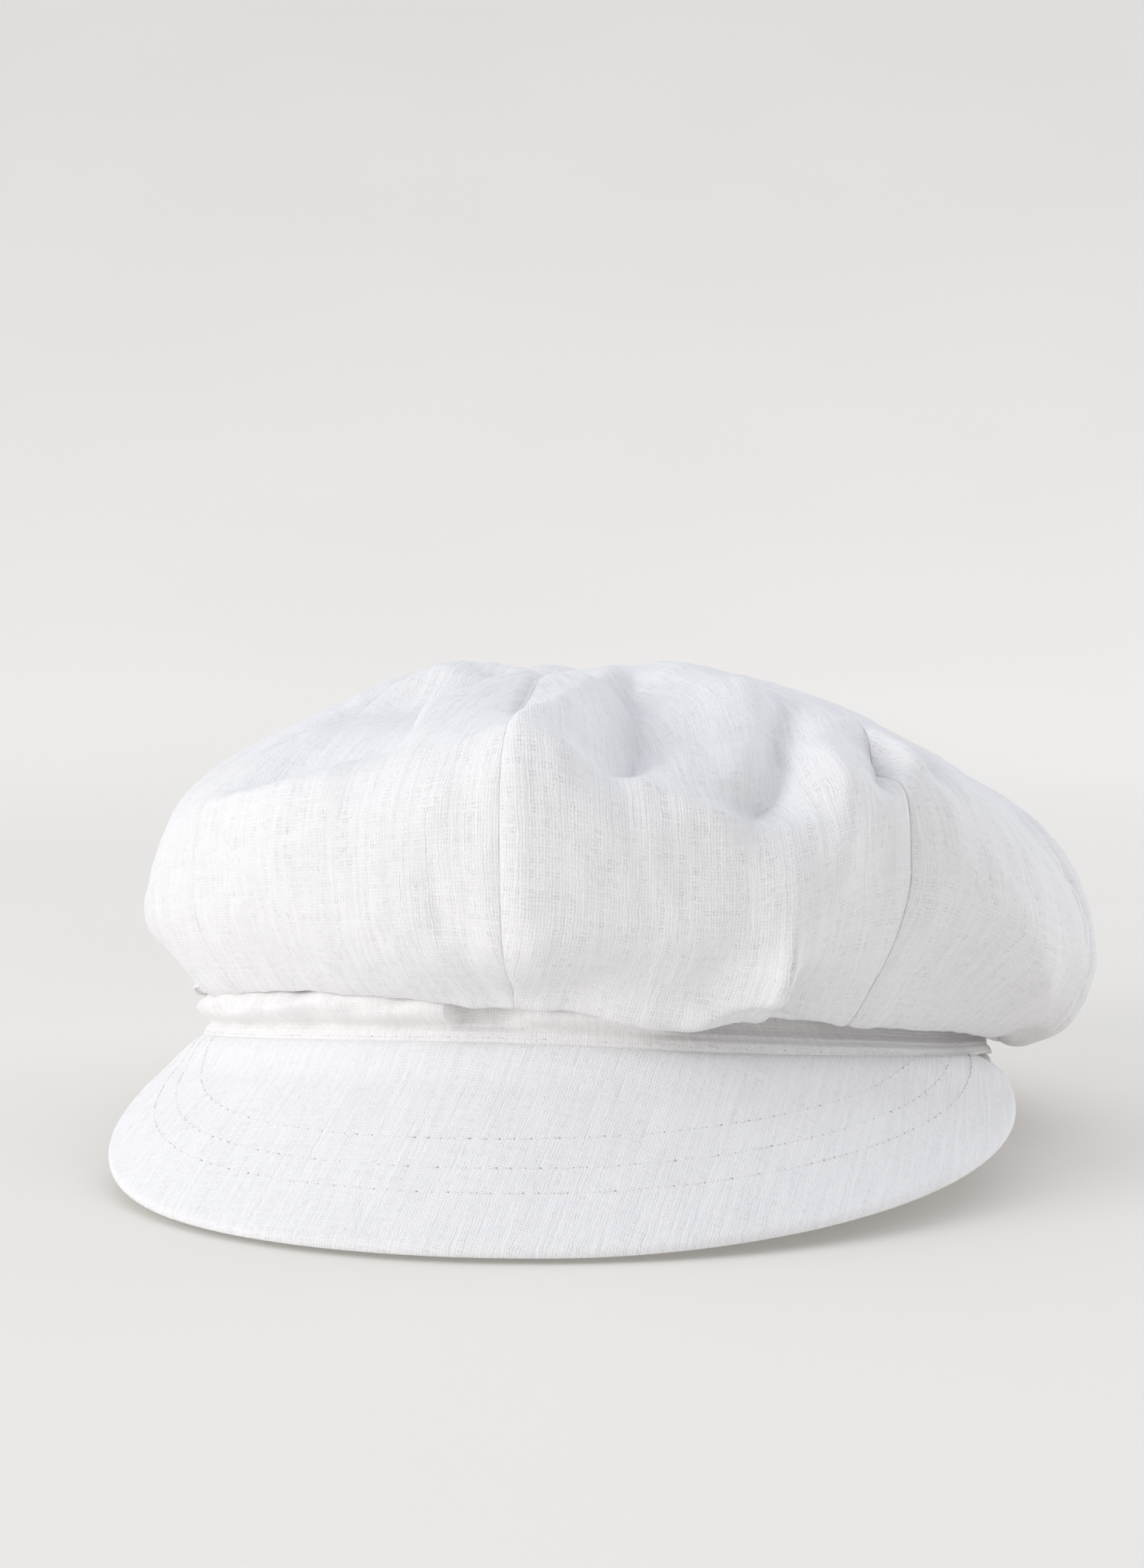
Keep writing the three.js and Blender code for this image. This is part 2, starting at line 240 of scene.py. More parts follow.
# %% [markdown]
# ## Along a meridian
#
# On each meridian one curve runs from the band over the fold, the rim and the shoulder to the
# button, through ten named stations. Working on whole arrays of angles and stations at once keeps
# this fast, although each panel has more than ten thousand points.

# %% Meridians
STATION_NAMES = ["seam", "leg", "fold", "lower", "rim", "shoulder", "top", "crest", "eye", "hole"]
STATION = {name: number for number, name in enumerate(STATION_NAMES)}


def meridian_points(angle):
    """Distance out and height of the cloth at each station, as two arrays of ten rows."""
    radius = band_radius(angle)
    fold_out, fold_z = section("fold_out", angle), section("fold_z", angle)
    rim_out, rim_z = section("rim_out", angle), section("rim_z", angle)
    out = [
        np.full_like(radius, HANG["seam_out"]),
        GAP + HANG["leg_out"] * fold_out,
        fold_out,
        mix(fold_out, rim_out, HANG["lower_out"]),
        rim_out,
        section("shoulder_out", angle),
        -HANG["top"] * radius,
        CREST_RADIUS - radius,
        EYE_RADIUS - radius,
        HOLE_RADIUS - radius,
    ]
    centre = np.full_like(radius, CENTRE_HEIGHT)
    height = [
        band_edge(angle) + BAND["height"] - HANG["seam_below_top"],
        fold_z + HANG["leg_rise"],
        fold_z,
        mix(fold_z, rim_z, HANG["lower_height"]),
        rim_z,
        section("shoulder_z", angle),
        section("top_z", angle),
        section("crest_z", angle),
        centre,
        centre,
    ]
    return np.array(out), np.array(height)


def along_curve(points, place):
    """Centripetal Catmull-Rom curve through ten points, and its direction, at places 0 to 9."""
    last = len(points[0]) - 1
    whole = np.clip(np.floor(place).astype(int), 0, last - 1)
    t = place - whole
    padded = [np.concatenate([[2 * p[0] - p[1]], p, [2 * p[-1] - p[-2]]]) for p in points]
    pick = [[np.take_along_axis(p, (whole + k)[None], 0)[0] for k in range(4)] for p in padded]
    gaps = [(sum((p[k + 1] - p[k]) ** 2 for p in pick)) ** 0.25 for k in range(3)]
    place_at, direction = [], []
    for a, b, c, d in pick:
        start = (b - a) / gaps[0] - (c - a) / (gaps[0] + gaps[1]) + (c - b) / gaps[1]
        end = (c - b) / gaps[1] - (d - b) / (gaps[1] + gaps[2]) + (d - c) / gaps[2]
        start, end = start * gaps[1], end * gaps[1]
        square, cube = 3 * (c - b) - 2 * start - end, 2 * (b - c) + start + end
        place_at.append(b + t * (start + t * (square + t * cube)))
        direction.append(start + t * (2 * square + 3 * t * cube))
    length = np.maximum(np.hypot(*direction), 1e-9)
    return place_at, [d / length for d in direction]


def crown_base(angle, station):
    """Distance out and height on the plain crown, with the direction of the meridian there."""
    return along_curve(meridian_points(angle), station)


def crown_place(angle, station, out, height):
    """A point of the crown in the cap's own millimetres, with the crown's slide to one side."""
    x, y = plan(angle, out)
    rim = section("rim_out", angle)
    inward = np.clip((rim - out) / (rim + band_radius(angle)), 0, 1)
    slide = inward * smoothstep(station, STATION["lower"], STATION["shoulder"])
    return grid_points(x + CROWN_CENTRE[0] * slide, y + CROWN_CENTRE[1] * slide, height)


SEAM_BEND = [5, 5.9, 6.3, STATION["eye"]]  # stations between which a seam wanders on top


def seam_angle(number, station):
    low, high, bend = (SEAMS[column][number % PANELS] for column in ("low", "high", "bend"))
    angle = mix(low, high, smoothstep(station, STATION["fold"], STATION["rim"]))
    return angle + bend * window(station, *SEAM_BEND) + 360 * (number // PANELS)


(probe_out, probe_height), _ = crown_base(np.array([0.0, 90.0]), np.array([4.0, 4.0]))
print("rim at the front and on the right:", probe_out.round(1), probe_height.round(1))

# %% [markdown]
# ## Folds
#
# The crown is too big for its band, so it slumps into folds. Each fold is a line drawn on the
# plain crown from one place to another, and the cloth near the line is lifted or pushed in. A soft
# fold has a round profile. A crease has a pointed one, which catches the light as a thin line.

# %% Fold table
# Where the fold starts and ends, as angle and station; its half width in mm on the left and on the
# right of someone who walks along it outside; its height in mm; and how pointed it is, where 2 is
# round and 1 is a crease
FOLD_COLUMNS = ["angle_from", "station_from", "angle_to", "station_to"]
FOLD_COLUMNS += ["left", "right", "height", "point"]
FOLDS = [
    # Hump, valley, plateau, valley and finger along the top of the front right panel
    [-3, 4.95, 33, 6.9, 6, 12, 5.4, 1.5],
    [-6, 4.74, 12, 5.62, 4, 8, 3.2, 2],
    [7, 4.75, 18, 5.5, 7, 5, -3.2, 1.5],
    [6.0, 4.76, 38.5, 6.8, 11, 8, -8.2, 1.25],
    [18.5, 4.9, 50, 5.95, 9, 5, 4.0, 1.6],
    [22.5, 4.60, 42.5, 5.65, 14, 6, -9.2, 1.25],
    [32.5, 5.15, 55, 5.95, 6, 8, -4.0, 1.3],
    [33.6, 3.8, 39, 5.6, 5, 5, 3.4, 1.6],
    # Pockets on both sides of the second seam, and its pinch
    [42, 4.55, 47.6, 5.35, 6, 2, -5.4, 1.5],
    [45.0, 4.75, 48.0, 5.25, 1.2, 1.4, -2.2, 1.4],
    [49, 4.6, 54, 5.5, 3, 5, -3.0, 1.8],
    # The front seam lies at the foot of the hump
    [-1, 5.1, 1, 6.1, 0.8, 2, -1.2, 1.5],
    [1, 5.8, 3, 7.2, 0.8, 2, -1.2, 1.8],
    [3, 6.1, 5, 7.0, 3, 3, -2.0, 1.8],
    # Hollow behind the rim on the left with a steep lower right side and a thin ridge beside it,
    # and the ramp that rises towards the front seam instead of a rim
    [-45, 5.05, -12, 5.32, 16, 3.0, -6.5, 1.5],
    [-15.5, 5.0, -21, 6.4, 20, 3.0, -6.0, 1.5],
    [-13, 5.1, -16.5, 5.9, 2, 4, 1.6, 1.4],
    [-19, 5.9, -13, 6.9, 8, 3.5, -3.6, 1.6],
    [-55, 5.5, -22, 6.3, 12, 12, -2.0, 2],
    [-16, 5.25, 12, 6.1, 8, 9, 2.6, 2],
    [-62, 5.35, -28, 7.0, 8, 8, 2.4, 2],
    # Slumps of the back and the sides
    [-62, 4.9, -60, 6.5, 12, 12, -1.2, 2],
    [150, 4.6, 156, 6.5, 13, 13, -3.0, 2],
    [-150, 4.6, -158, 6.5, 13, 13, -3.0, 2],
    [-98, 2.7, -54, 2.6, 12, 7, -3.6, 2],
    [-90, 3.7, -56, 5.0, 12, 12, -2.2, 2],
    [48, 5.6, 90, 4.5, 12, 10, -2.6, 2],
    [62, 2.9, 108, 2.9, 9, 7, 1.6, 2],
    [66, 2.15, 108, 2.15, 7, 7, -2.2, 2],
    # Rim creases, left and right of the front seam
    [-56, 4.9, -16, 5.02, 3, 8, 1.6, 1.3],
    [0, 5.04, 18, 4.95, 2.4, 6, 2.7, 1.2],
    [12, 5.0, 38, 4.5, 2.4, 6, 2.7, 1.2],
    # The wall turns a corner just right of the front seam
    [4.5, 2.4, -1.0, 5.8, 30, 24, 7.4, 1.2],
    # The lower edge of the crown hangs low and close to the band under the front seam
    [-14, 2.35, 16, 2.35, 6, 5, -2.6, 2],
    [-14, 1.96, 12, 1.98, 6, 6, 2.6, 2],
    # Ridge across the right panel, and thinner ones along and beside it
    [47.8, 5.2, 51.5, 4.0, 4, 2.5, 1.8, 1.2],
    [46.5, 4.35, 78, 3.0, 14, 7, 5.0, 1.2],
    [50.3, 4.6, 66, 3.6, 2.2, 2.8, 0.8, 1.2],
    [48.2, 4.6, 49.8, 4.0, 1.6, 1.6, 0.5, 1.3],
    # Low lobe beside the recess: it hangs on the lip, turns forwards to a ridge and drops behind it
    [4, 1.96, 28, 2.04, 6, 6, 2.8, 2],
    [17, 2.1, 31.5, 3.3, 4.5, 1.8, 3.0, 1.3],
    [28.0, 1.9, 29.4, 4.1, 3.5, 2.0, 3.6, 1.3],
    [30.8, 1.5, 31.4, 3.7, 1.8, 6, -3.4, 1.6],
    [20, 2.3, 23, 4.0, 5, 5, -1.6, 1.8],
    [28.5, 2.6, 30, 4.9, 10, 16, 4.0, 1.2],
    [14, 2.8, 14, 4.7, 8, 8, -1.2, 2],
    # Small upright creases on the wall of the left panel
    [-6.9, 3.3, -8.8, 4.6, 1.5, 1.5, -0.45, 1.4],
    [-16.1, 3.7, -15.8, 4.35, 1.0, 1.0, -0.35, 1.3],
    # Parallel crease beside the second seam
    [40.2, 3.3, 42.2, 4.5, 0.8, 0.8, -0.3, 1.4],
    # Pinch near the third seam, seen almost edge on at the right
    [80.5, 4.0, 84, 4.75, 2.2, 1.4, -2.6, 1.4],
]
print(len(FOLDS), "folds")

# %% [markdown]
# ## How a fold moves the cloth
#
# Each point of the cloth asks how far it is from the line of the fold, how far along that line,
# and on which side. The lift falls off with the distance, and it may do so faster on one side than
# on the other. The distance is measured in space, so a fold keeps its width wherever it runs.

# %% Fold lift
FOLD_SPINE = 25  # points along the line of a fold
FOLD_FADE = 0.36  # share of its length over which a fold grows at the start and fades at the end
FOLD_REACH = 3  # a fold is not felt further away than this many half widths
CROWN_MIDDLE = np.array([0.0, 0.0, 45.0])


def crown_spine(fold):
    """The line of a fold on the plain crown."""
    angle = np.linspace(fold["angle_from"], fold["angle_to"], FOLD_SPINE)
    station = np.linspace(fold["station_from"], fold["station_to"], FOLD_SPINE)
    (out, height), _ = crown_base(angle, station)
    return crown_place(angle, station, out, height)


def beside_line(points, line):
    """Distance of each point from a line, how far along it that is, and whether it is on its left."""
    start, step = line[:-1], np.diff(line, axis=0)
    reach = points[..., None, :] - start
    share = np.clip((reach * step).sum(-1) / (step * step).sum(-1), 0, 1)
    gap = reach - share[..., None] * step
    distance = np.linalg.norm(gap, axis=-1)
    nearest = distance.argmin(-1)[..., None]
    along = (np.take_along_axis(share, nearest, -1)[..., 0] + nearest[..., 0]) / len(step)
    gap = np.take_along_axis(gap, nearest[..., None], -2)[..., 0, :]
    turn = np.cross(step[nearest[..., 0]], gap)
    on_left = (turn * (points - CROWN_MIDDLE)).sum(-1) > 0
    return np.take_along_axis(distance, nearest, -1)[..., 0], along, on_left


def fold_lift(points):
    """How far the folds lift the cloth at each point of the plain crown."""
    lift = np.zeros(points.shape[:-1])
    for fold, spine in SPINES:
        reach = FOLD_REACH * max(fold["left"], fold["right"])
        near = ((points > spine.min(0) - reach) & (points < spine.max(0) + reach)).all(-1)
        if not near.any():
            continue
        distance, along, on_left = beside_line(points[near], spine)
        width = np.where(on_left, fold["left"], fold["right"])
        profile = np.exp(-((distance / width) ** fold["point"]))
        strength = smoothstep(np.minimum(along, 1 - along), 0, FOLD_FADE)
        lift[near] += fold["height"] * strength * profile
    return lift


FOLD_ROWS = [dict(zip(FOLD_COLUMNS, row)) for row in FOLDS]
SPINES = [(fold, crown_spine(fold)) for fold in FOLD_ROWS]
spine_lengths = [np.linalg.norm(np.diff(spine, axis=0), axis=-1).sum() for _, spine in SPINES]
print(f"folds from {min(spine_lengths):.0f} to {max(spine_lengths):.0f} mm long")

# %% [markdown]
# ## From grids to meshes
#
# A cloth piece is a grid of points on its outside and a second grid behind it, joined round the
# edges into one closed body. Each vertex also keeps its place in the flat cloth, in metres: how
# far across and along the threads it is, and how far from the nearest seam. The weave is drawn
# from that, so the threads follow the cloth over every fold.

# %% Mesh helpers
def cloth_mesh(name, front, back, cloth, wraps=False):
    """One closed body from two grids of points that face each other, shape (rows, columns, 3)."""
    rows, columns = front.shape[:2]
    number = np.arange(2 * rows * columns).reshape(2, rows, columns)
    if wraps:
        number = np.concatenate([number, number[:, :1]], 1)
    a, b = number[:, :-1, :-1], number[:, 1:, :-1]
    c, d = number[:, 1:, 1:], number[:, :-1, 1:]
    faces = [
        np.stack([a[0], b[0], c[0], d[0]], -1).reshape(-1, 4),
        np.stack([a[1], d[1], c[1], b[1]], -1).reshape(-1, 4),
    ]
    low, high = number[:, :, 0], number[:, :, -1]
    faces.append(np.stack([low[0, :-1], low[1, :-1], low[1, 1:], low[0, 1:]], -1))
    faces.append(np.stack([high[0, :-1], high[0, 1:], high[1, 1:], high[1, :-1]], -1))
    if not wraps:
        first, last = number[:, 0], number[:, -1]
        faces.append(np.stack([first[0, :-1], first[0, 1:], first[1, 1:], first[1, :-1]], -1))
        faces.append(np.stack([last[0, :-1], last[1, :-1], last[1, 1:], last[0, 1:]], -1))
    points = np.concatenate([front.reshape(-1, 3), back.reshape(-1, 3)])
    flat = np.concatenate([cloth.reshape(-1, 3)] * 2)
    return body(name, points, np.concatenate(faces), flat)


def body(name, points, faces, cloth):
    """An object from points and places in the flat cloth, both in millimetres."""
    mesh = bpy.data.meshes.new(name)
    mesh.from_pydata(points * MM + AXIS, [], faces.tolist(), shade_flat=False)
    flat = mesh.attributes.new("cloth", "FLOAT_VECTOR", "POINT")
    flat.data.foreach_set("vector", (cloth * MM).astype(np.float32).ravel())
    mesh.validate()
    made = bpy.data.objects.new(name, mesh)
    bpy.context.scene.collection.objects.link(made)
    return made


def grid_normals(points, wraps=False):
    """Unit normals of a grid of points, out of the side from which rows run to the right."""
    if wraps:
        ring = np.concatenate([points[-1:], points, points[:1]])
        across = np.gradient(ring, axis=0)[1:-1]
    else:
        across = np.gradient(points, axis=0)
    along = np.gradient(points, axis=1)
    normal = np.cross(across, along)
    return normal / np.maximum(np.linalg.norm(normal, axis=-1, keepdims=True), 1e-9)


def waves(seed, across, along, size_across, size_along, count=10):
    """Smooth random waves over the flat cloth, about -1 to 1, of a chosen size in each direction."""
    random = np.random.default_rng(seed)
    total = np.zeros(np.broadcast(across, along).shape)
    for turn, phase, size in zip(*random.random((3, count))):
        stretch = mix(0.75, 1.5, size)
        waves_across = stretch * across / size_across * math.cos(2 * np.pi * turn)
        waves_along = stretch * along / size_along * math.sin(2 * np.pi * turn)
        total += np.sin(2 * np.pi * (waves_across + waves_along + phase))
    return total / math.sqrt(count / 2) / 2


sample = waves(1, np.arange(200.0), np.arange(200.0), 30, 30)
print(f"waves between {sample.min():.2f} and {sample.max():.2f}")

# %% [markdown]
# ## Nodes in few words
#
# Every node has to be added, set and linked, and a weave needs dozens of them. A small class with
# one method for each kind that comes often lets the sums of the weave read almost like arithmetic.
# What it adds are the same nodes that one would add by hand in the shader editor.

# %% Node helpers
class Nodes:
    """Short calls that add nodes to one tree."""

    def __init__(self, tree):
        self.tree = tree

    def fill(self, sockets, values):
        """Give sockets their values. A value is a number, a colour or a socket to link from."""
        for name, value in values.items():
            if isinstance(value, bpy.types.NodeSocket):
                self.tree.links.new(value, sockets[name])
            else:
                sockets[name].default_value = value

    def new(self, kind, values=None, **settings):
        """A node with its settings, and with values for some of its inputs."""
        node = self.tree.nodes.new("ShaderNode" + kind)
        for name, setting in settings.items():
            setattr(node, name, setting)
        self.fill(node.inputs, values or {})
        return node

    def math(self, operation, *values):
        return self.new("Math", dict(enumerate(values)), operation=operation).outputs[0]

    def plus(self, a, b):
        return self.math("ADD", a, b)

    def minus(self, a, b):
        return self.math("SUBTRACT", a, b)

    def times(self, a, b):
        return self.math("MULTIPLY", a, b)

    def noise(self, vector, scale, detail=0.0, roughness=0.5):
        values = {"Vector": vector, "Scale": scale, "Detail": detail, "Roughness": roughness}
        return self.new("TexNoise", values).outputs["Fac"]

    def noise_at(self, x, y, z, detail, roughness=0.5, scale=1):
        place = self.new("CombineXYZ", {"X": x, "Y": y, "Z": z}).outputs[0]
        return self.noise(place, scale, detail, roughness)

    def spread(self, value, low, high, to_low=0.0, to_high=1.0):
        """What lies between low and high, eased at both ends and turned into another range."""
        values = {"Value": value, "From Min": low, "From Max": high}
        values |= {"To Min": to_low, "To Max": to_high}
        return self.new("MapRange", values, interpolation_type="SMOOTHSTEP").outputs["Result"]

    def mixed(self, share, first, second):
        """A colour between two others."""
        values = {"Factor": share, "A": first, "B": second}
        return self.new("Mix", values, data_type="RGBA").outputs["Result"]


def group_with(name, inputs, outputs):
    """An empty node group with named sockets, and its two end nodes."""
    tree = bpy.data.node_groups.new(name, "ShaderNodeTree")
    for socket_name, kind, value in inputs:
        socket = tree.interface.new_socket(socket_name, in_out="INPUT", socket_type=kind)
        if value is not None:
            socket.default_value = value
    for socket_name in outputs:
        tree.interface.new_socket(socket_name, in_out="OUTPUT", socket_type="NodeSocketFloat")
    return tree, tree.nodes.new("NodeGroupInput").outputs, tree.nodes.new("NodeGroupOutput").inputs


print("short calls:", [name for name in vars(Nodes) if not name.startswith("_")])

# %% [markdown]
# ## The weave
#
# Slub linen is a plain weave of threads that are thick and thin by turns. Each thread passes over
# one neighbour and under the next. Where four threads meet is a tiny hole with painted shade in it.
# The long soft streaks are slubs, places where an upright thread is thick for a centimetre or two.
# Every piece of the cap needs this, so it is one node group. It takes a place in the flat cloth
# and gives back a height for the bump and masks for the colour. A picture of cloth would have been
# quicker, but it would blur in a close view and show seams where it repeats.

# %% Node group: linen weave
WANDER = (2, 0.6, 420)  # noise that bends the threads: its detail, roughness and scale
SWAY = (2, 0.6, 480)
THICK_PLACES = {"warp": 55, "weft": 70, "slub": 60, "streak": 45}  # about so many to the metre
OVER_AND_UNDER = 0.28  # how much higher or lower than its middle a thread runs
MIDDLE = 0.72


def linen_weave():
    """Height of the threads, painted shade for the holes between them, and the slubs, from a flat
    place.
    """
    inputs = [
        ("Cloth", "NodeSocketVector", None),
        ("Warp Pitch", "NodeSocketFloat", 0.00060),
        ("Weft Pitch", "NodeSocketFloat", 0.00066),
        ("Unevenness", "NodeSocketFloat", 1.5),
        ("Slub", "NodeSocketFloat", 0.5),
        ("Piece", "NodeSocketFloat", 0.0),
    ]
    tree, given, gives = group_with("linen weave", inputs, ["Height", "Hole Shade", "Slub", "Streak"])
    n = Nodes(tree)
    u, v, _ = n.new("SeparateXYZ", {0: given["Cloth"]}).outputs
    piece = given["Piece"]

    # Threads wander a little from their straight lines
    def wandering(place, pitch, where, bends):
        shift = n.times(n.minus(n.noise_at(*where, *bends), 0.5), given["Unevenness"])
        return n.plus(n.math("DIVIDE", place, given[pitch]), shift)

    warp = wandering(u, "Warp Pitch", (u, v, piece), WANDER)
    weft = wandering(v, "Weft Pitch", (v, u, n.plus(piece, 5.0)), SWAY)

    # Each thread has its own number, and its thickness changes along it. The factors below one put
    # neighbouring threads closer together in the noise, so that they are a little alike.
    warp_number, weft_number = n.math("FLOOR", warp), n.math("FLOOR", weft)
    up = {name: n.times(v, THICK_PLACES[name]) for name in ("warp", "slub", "streak")}
    warp_slub = n.noise_at(n.times(warp_number, 0.73), up["warp"], piece, 1)
    sideways = n.times(u, THICK_PLACES["weft"])
    weft_slub = n.noise_at(sideways, n.times(weft_number, 0.79), piece, 1)
    warp_thick = n.spread(warp_slub, 0.3, 0.7, 0.5, 1.1)
    weft_thick = n.spread(weft_slub, 0.3, 0.7, 0.4, 1.0)
    long_slub = n.spread(n.noise_at(n.times(warp, 0.8), up["slub"], piece, 1), 0.54, 0.74)
    slub = n.times(long_slub, given["Slub"])
    streak = n.noise_at(n.times(warp, 0.55), up["streak"], n.plus(piece, 9.0), 2, 0.6)

    # Round threads that pass over and under each other by turns
    def thread(place, thick):
        aside = n.math("ABSOLUTE", n.minus(n.math("FRACT", place), 0.5))
        inside = n.math("DIVIDE", n.times(aside, 2.0), thick)
        return n.math("SQRT", n.math("MAXIMUM", n.minus(1.0, n.times(inside, inside)), 0.0))

    def over(place, other_number, side):
        turn = n.times(n.plus(place, n.plus(other_number, side)), math.pi)
        return n.plus(MIDDLE, n.times(n.math("SINE", turn), OVER_AND_UNDER))

    warp_height = n.times(thread(warp, warp_thick), over(weft, warp_number, 0.0))
    weft_height = n.times(thread(weft, weft_thick), over(warp, weft_number, 1.0))
    threads = n.math("MAXIMUM", warp_height, n.times(weft_height, 0.9))
    lifted = n.plus(threads, n.times(slub, 1.1))

    # Some gaps between the threads are wide open and others are closed by fibres. The open ones get
    # painted shade, which darkens the colour there
    gap = n.noise_at(n.times(warp_number, 0.83), n.times(weft_number, 0.71), piece, 2, 0.7)
    hole = n.times(n.spread(lifted, 0.12, 0.6, 1.0, 0.0), n.spread(gap, 0.45, 0.66, 0.03, 1.0))
    streak = n.spread(streak, 0.3, 0.7)
    n.fill(gives, {"Height": lifted, "Hole Shade": hole, "Slub": slub, "Streak": streak})
    return tree


LINEN_WEAVE = linen_weave()
print("weave group:", len(LINEN_WEAVE.nodes), "nodes")

# %% [markdown]
# ## The linen materials
#
# Bleached linen is matt and almost white. Its colour changes very little: slubs are a touch
# brighter, the holes between threads are painted grey for their shade, and streaks and broad
# patches differ by a few percent. A faint sheen stands for the short fibres. All four parts of
# the cap are cut from the same cloth, so one function makes their materials, with other values for
# each.

# %% Linen
CLOTH_WHITE = (0.914, 0.906, 0.912, 1)
BAND_WHITE = (0.947, 0.933, 0.929, 1)
PEAK_WHITE = (0.94, 0.935, 0.945, 1)
SLUB_WHITE = (0.93, 0.93, 0.93, 1)
# Painted shade: the open holes between the threads are darkened towards this grey
HOLE_SHADE_GREY = (0.50, 0.49, 0.50, 1)
STREAK_SHADE = (0.94, 0.94, 0.945, 1)  # the darkest streaks, as a share of the white
PATCHES = 30  # broad patches, about so many to the metre
THREAD_RELIEF = 0.00028  # metres
FINISH = {"Sheen Weight": 0.12, "Sheen Roughness": 0.5, "Specular IOR Level": 0.25}


def new_material(name):
    material = bpy.data.materials.new(name)
    material.use_nodes = True
    tree = material.node_tree
    return material, Nodes(tree), tree.nodes["Principled BSDF"].inputs


# hole says how strongly the painted shade darkens the holes between the threads
def linen(name, piece, hole=0.8, slub=0.6, bump=0.45, white=CLOTH_WHITE):
    """White slub linen drawn from each vertex's place in the flat cloth."""
    material, n, shader = new_material(name)
    flat = n.new("Attribute", attribute_name="cloth").outputs["Vector"]
    values = {"Cloth": flat, "Slub": slub, "Piece": piece}
    weave = n.new("Group", values, node_tree=LINEN_WEAVE).outputs
    patches = n.spread(n.noise(flat, PATCHES, 2), 0.3, 0.7, 0.85, 1.0)
    toned = n.times(patches, n.spread(weave["Streak"], 0.0, 1.0, 0.3, 1.0))
    darkest = [part * share for part, share in zip(white, STREAK_SHADE)]
    base = n.mixed(toned, darkest, white)
    lit = n.mixed(n.times(weave["Slub"], 0.5), base, SLUB_WHITE)
    values = {"Strength": bump, "Distance": THREAD_RELIEF, "Height": weave["Height"]}
    look = {
        # Painted shade in the open holes between the threads
        "Base Color": n.mixed(n.times(weave["Hole Shade"], hole), lit, HOLE_SHADE_GREY),
        "Roughness": n.spread(weave["Height"], 0.0, 1.2, 0.98, 0.86),
        "Normal": n.new("Bump", values).outputs["Normal"],
    }
    n.fill(shader, look | FINISH)
    return material


CROWN_LINEN = linen("crown_linen", 0)
BAND_LINEN = linen("band_linen", 11, hole=0.55, white=BAND_WHITE)
PEAK_LINEN = linen("peak_linen", 23, hole=0.6, white=PEAK_WHITE)
BUTTON_LINEN = linen("button_linen", 37)
print("materials:", [m.name for m in (CROWN_LINEN, BAND_LINEN, PEAK_LINEN, BUTTON_LINEN)])

# %% [markdown]
# ## Seams and small waves
#
# The seams draw the cloth in, the seam allowances make a flat ridge beside them, and the panels
# puff out between them. Small random waves keep the cloth from looking like moulded plastic. They
# fade out at the seams, so that neighbouring panels still meet there.

# %% Seams and small waves
SEAM = {
    "dip": 0.6,  # broad groove
    "dip_width": 3.0,
    "roll": 0.6,  # the cloth rolls into the seam
    "roll_width": 0.45,
    "ridge": 0.3,
    "allowance": [0.6, 2.0, 5.5, 7.3],  # distances between which it lifts the cloth to a ridge
    "inset": 0.01,
}
PUFF = 1.2
# Seed, size across, size along and height of the small waves
RUFFLES = {
    "slack": (10, 34, 48, 0.55),
    "creases": (30, 9, 40, 0.16),
    "crumple": (50, 8, 9, 0.10),
    "puckers": (70, 150, 9, 0.16),
}
RUFFLE_ROOM = 7  # distance from a seam at which the slack is free
PUCKER_REACH = 3  # distance from a seam at which the puckers are highest


def seam_lift(nearest, station, distance, pull):
    """The seams pull the cloth in and the panels puff out between them."""
    fade = 1 - smoothstep(station, STATION["crest"], STATION["eye"])
    grows = smoothstep(station, STATION["fold"], STATION["rim"])
    puff = PUFF * (np.minimum(1, nearest / (180 / PANELS)) - 0.5)
    dip = SEAM["dip"] * np.exp(-((distance / SEAM["dip_width"]) ** 2))
    roll = SEAM["roll"] * np.exp(-((distance / SEAM["roll_width"]) ** 1.5))
    ridge = SEAM["ridge"] * window(distance, *SEAM["allowance"])
    seam_fade = 1 - smoothstep(station, STATION["eye"], STATION["hole"])
    return fade * (grows * (puff - dip * pull) + ridge * pull) - seam_fade * roll * pull


def ruffle(number, across, along, distance, station):
    """Small random waves: slack in the cloth, puckers at the seams and faint upright creases."""
    slack, creases, crumple, puckers = (
        height * waves(seed + number, across, along, wide, long)
        for seed, wide, long, height in RUFFLES.values()
    )
    inside = smoothstep(distance, 0, RUFFLE_ROOM)
    beside = distance / PUCKER_REACH * np.exp(1 - distance / PUCKER_REACH)
    fade = 1 - smoothstep(station, STATION["top"], STATION["eye"])
    return fade * (inside * (slack + creases + crumple) + puckers * beside)


print("small waves:", ", ".join(RUFFLES))

# %% [markdown]
# ## The crown panels
#
# Each panel is a curved wedge between two seams. Its rows run from the seam on its left to the
# seam on its right, closer together near the seams, and its columns from the band to the button.
# One function makes all eight, because they differ only in their numbers.

# %% Crown panels
ROWS_ACROSS = 76
CLOSER_AT_SEAMS = 0.8  # 0 spaces the rows evenly and 1 like a cosine
COLUMNS_BETWEEN = [5, 7, 14, 24, 32, 46, 26, 12, 6]  # steps between one station and the next
SIDES = ["front_right", "right_front", "right_back", "back_right"]
SIDES += ["back_left", "left_back", "left_front", "front_left"]
PANEL_NAMES = ["crown_panel_" + side for side in SIDES]


def station_steps():
    steps = [np.linspace(i, i + 1, n, endpoint=False) for i, n in enumerate(COLUMNS_BETWEEN)]
    return np.concatenate(steps + [[STATION["hole"]]])


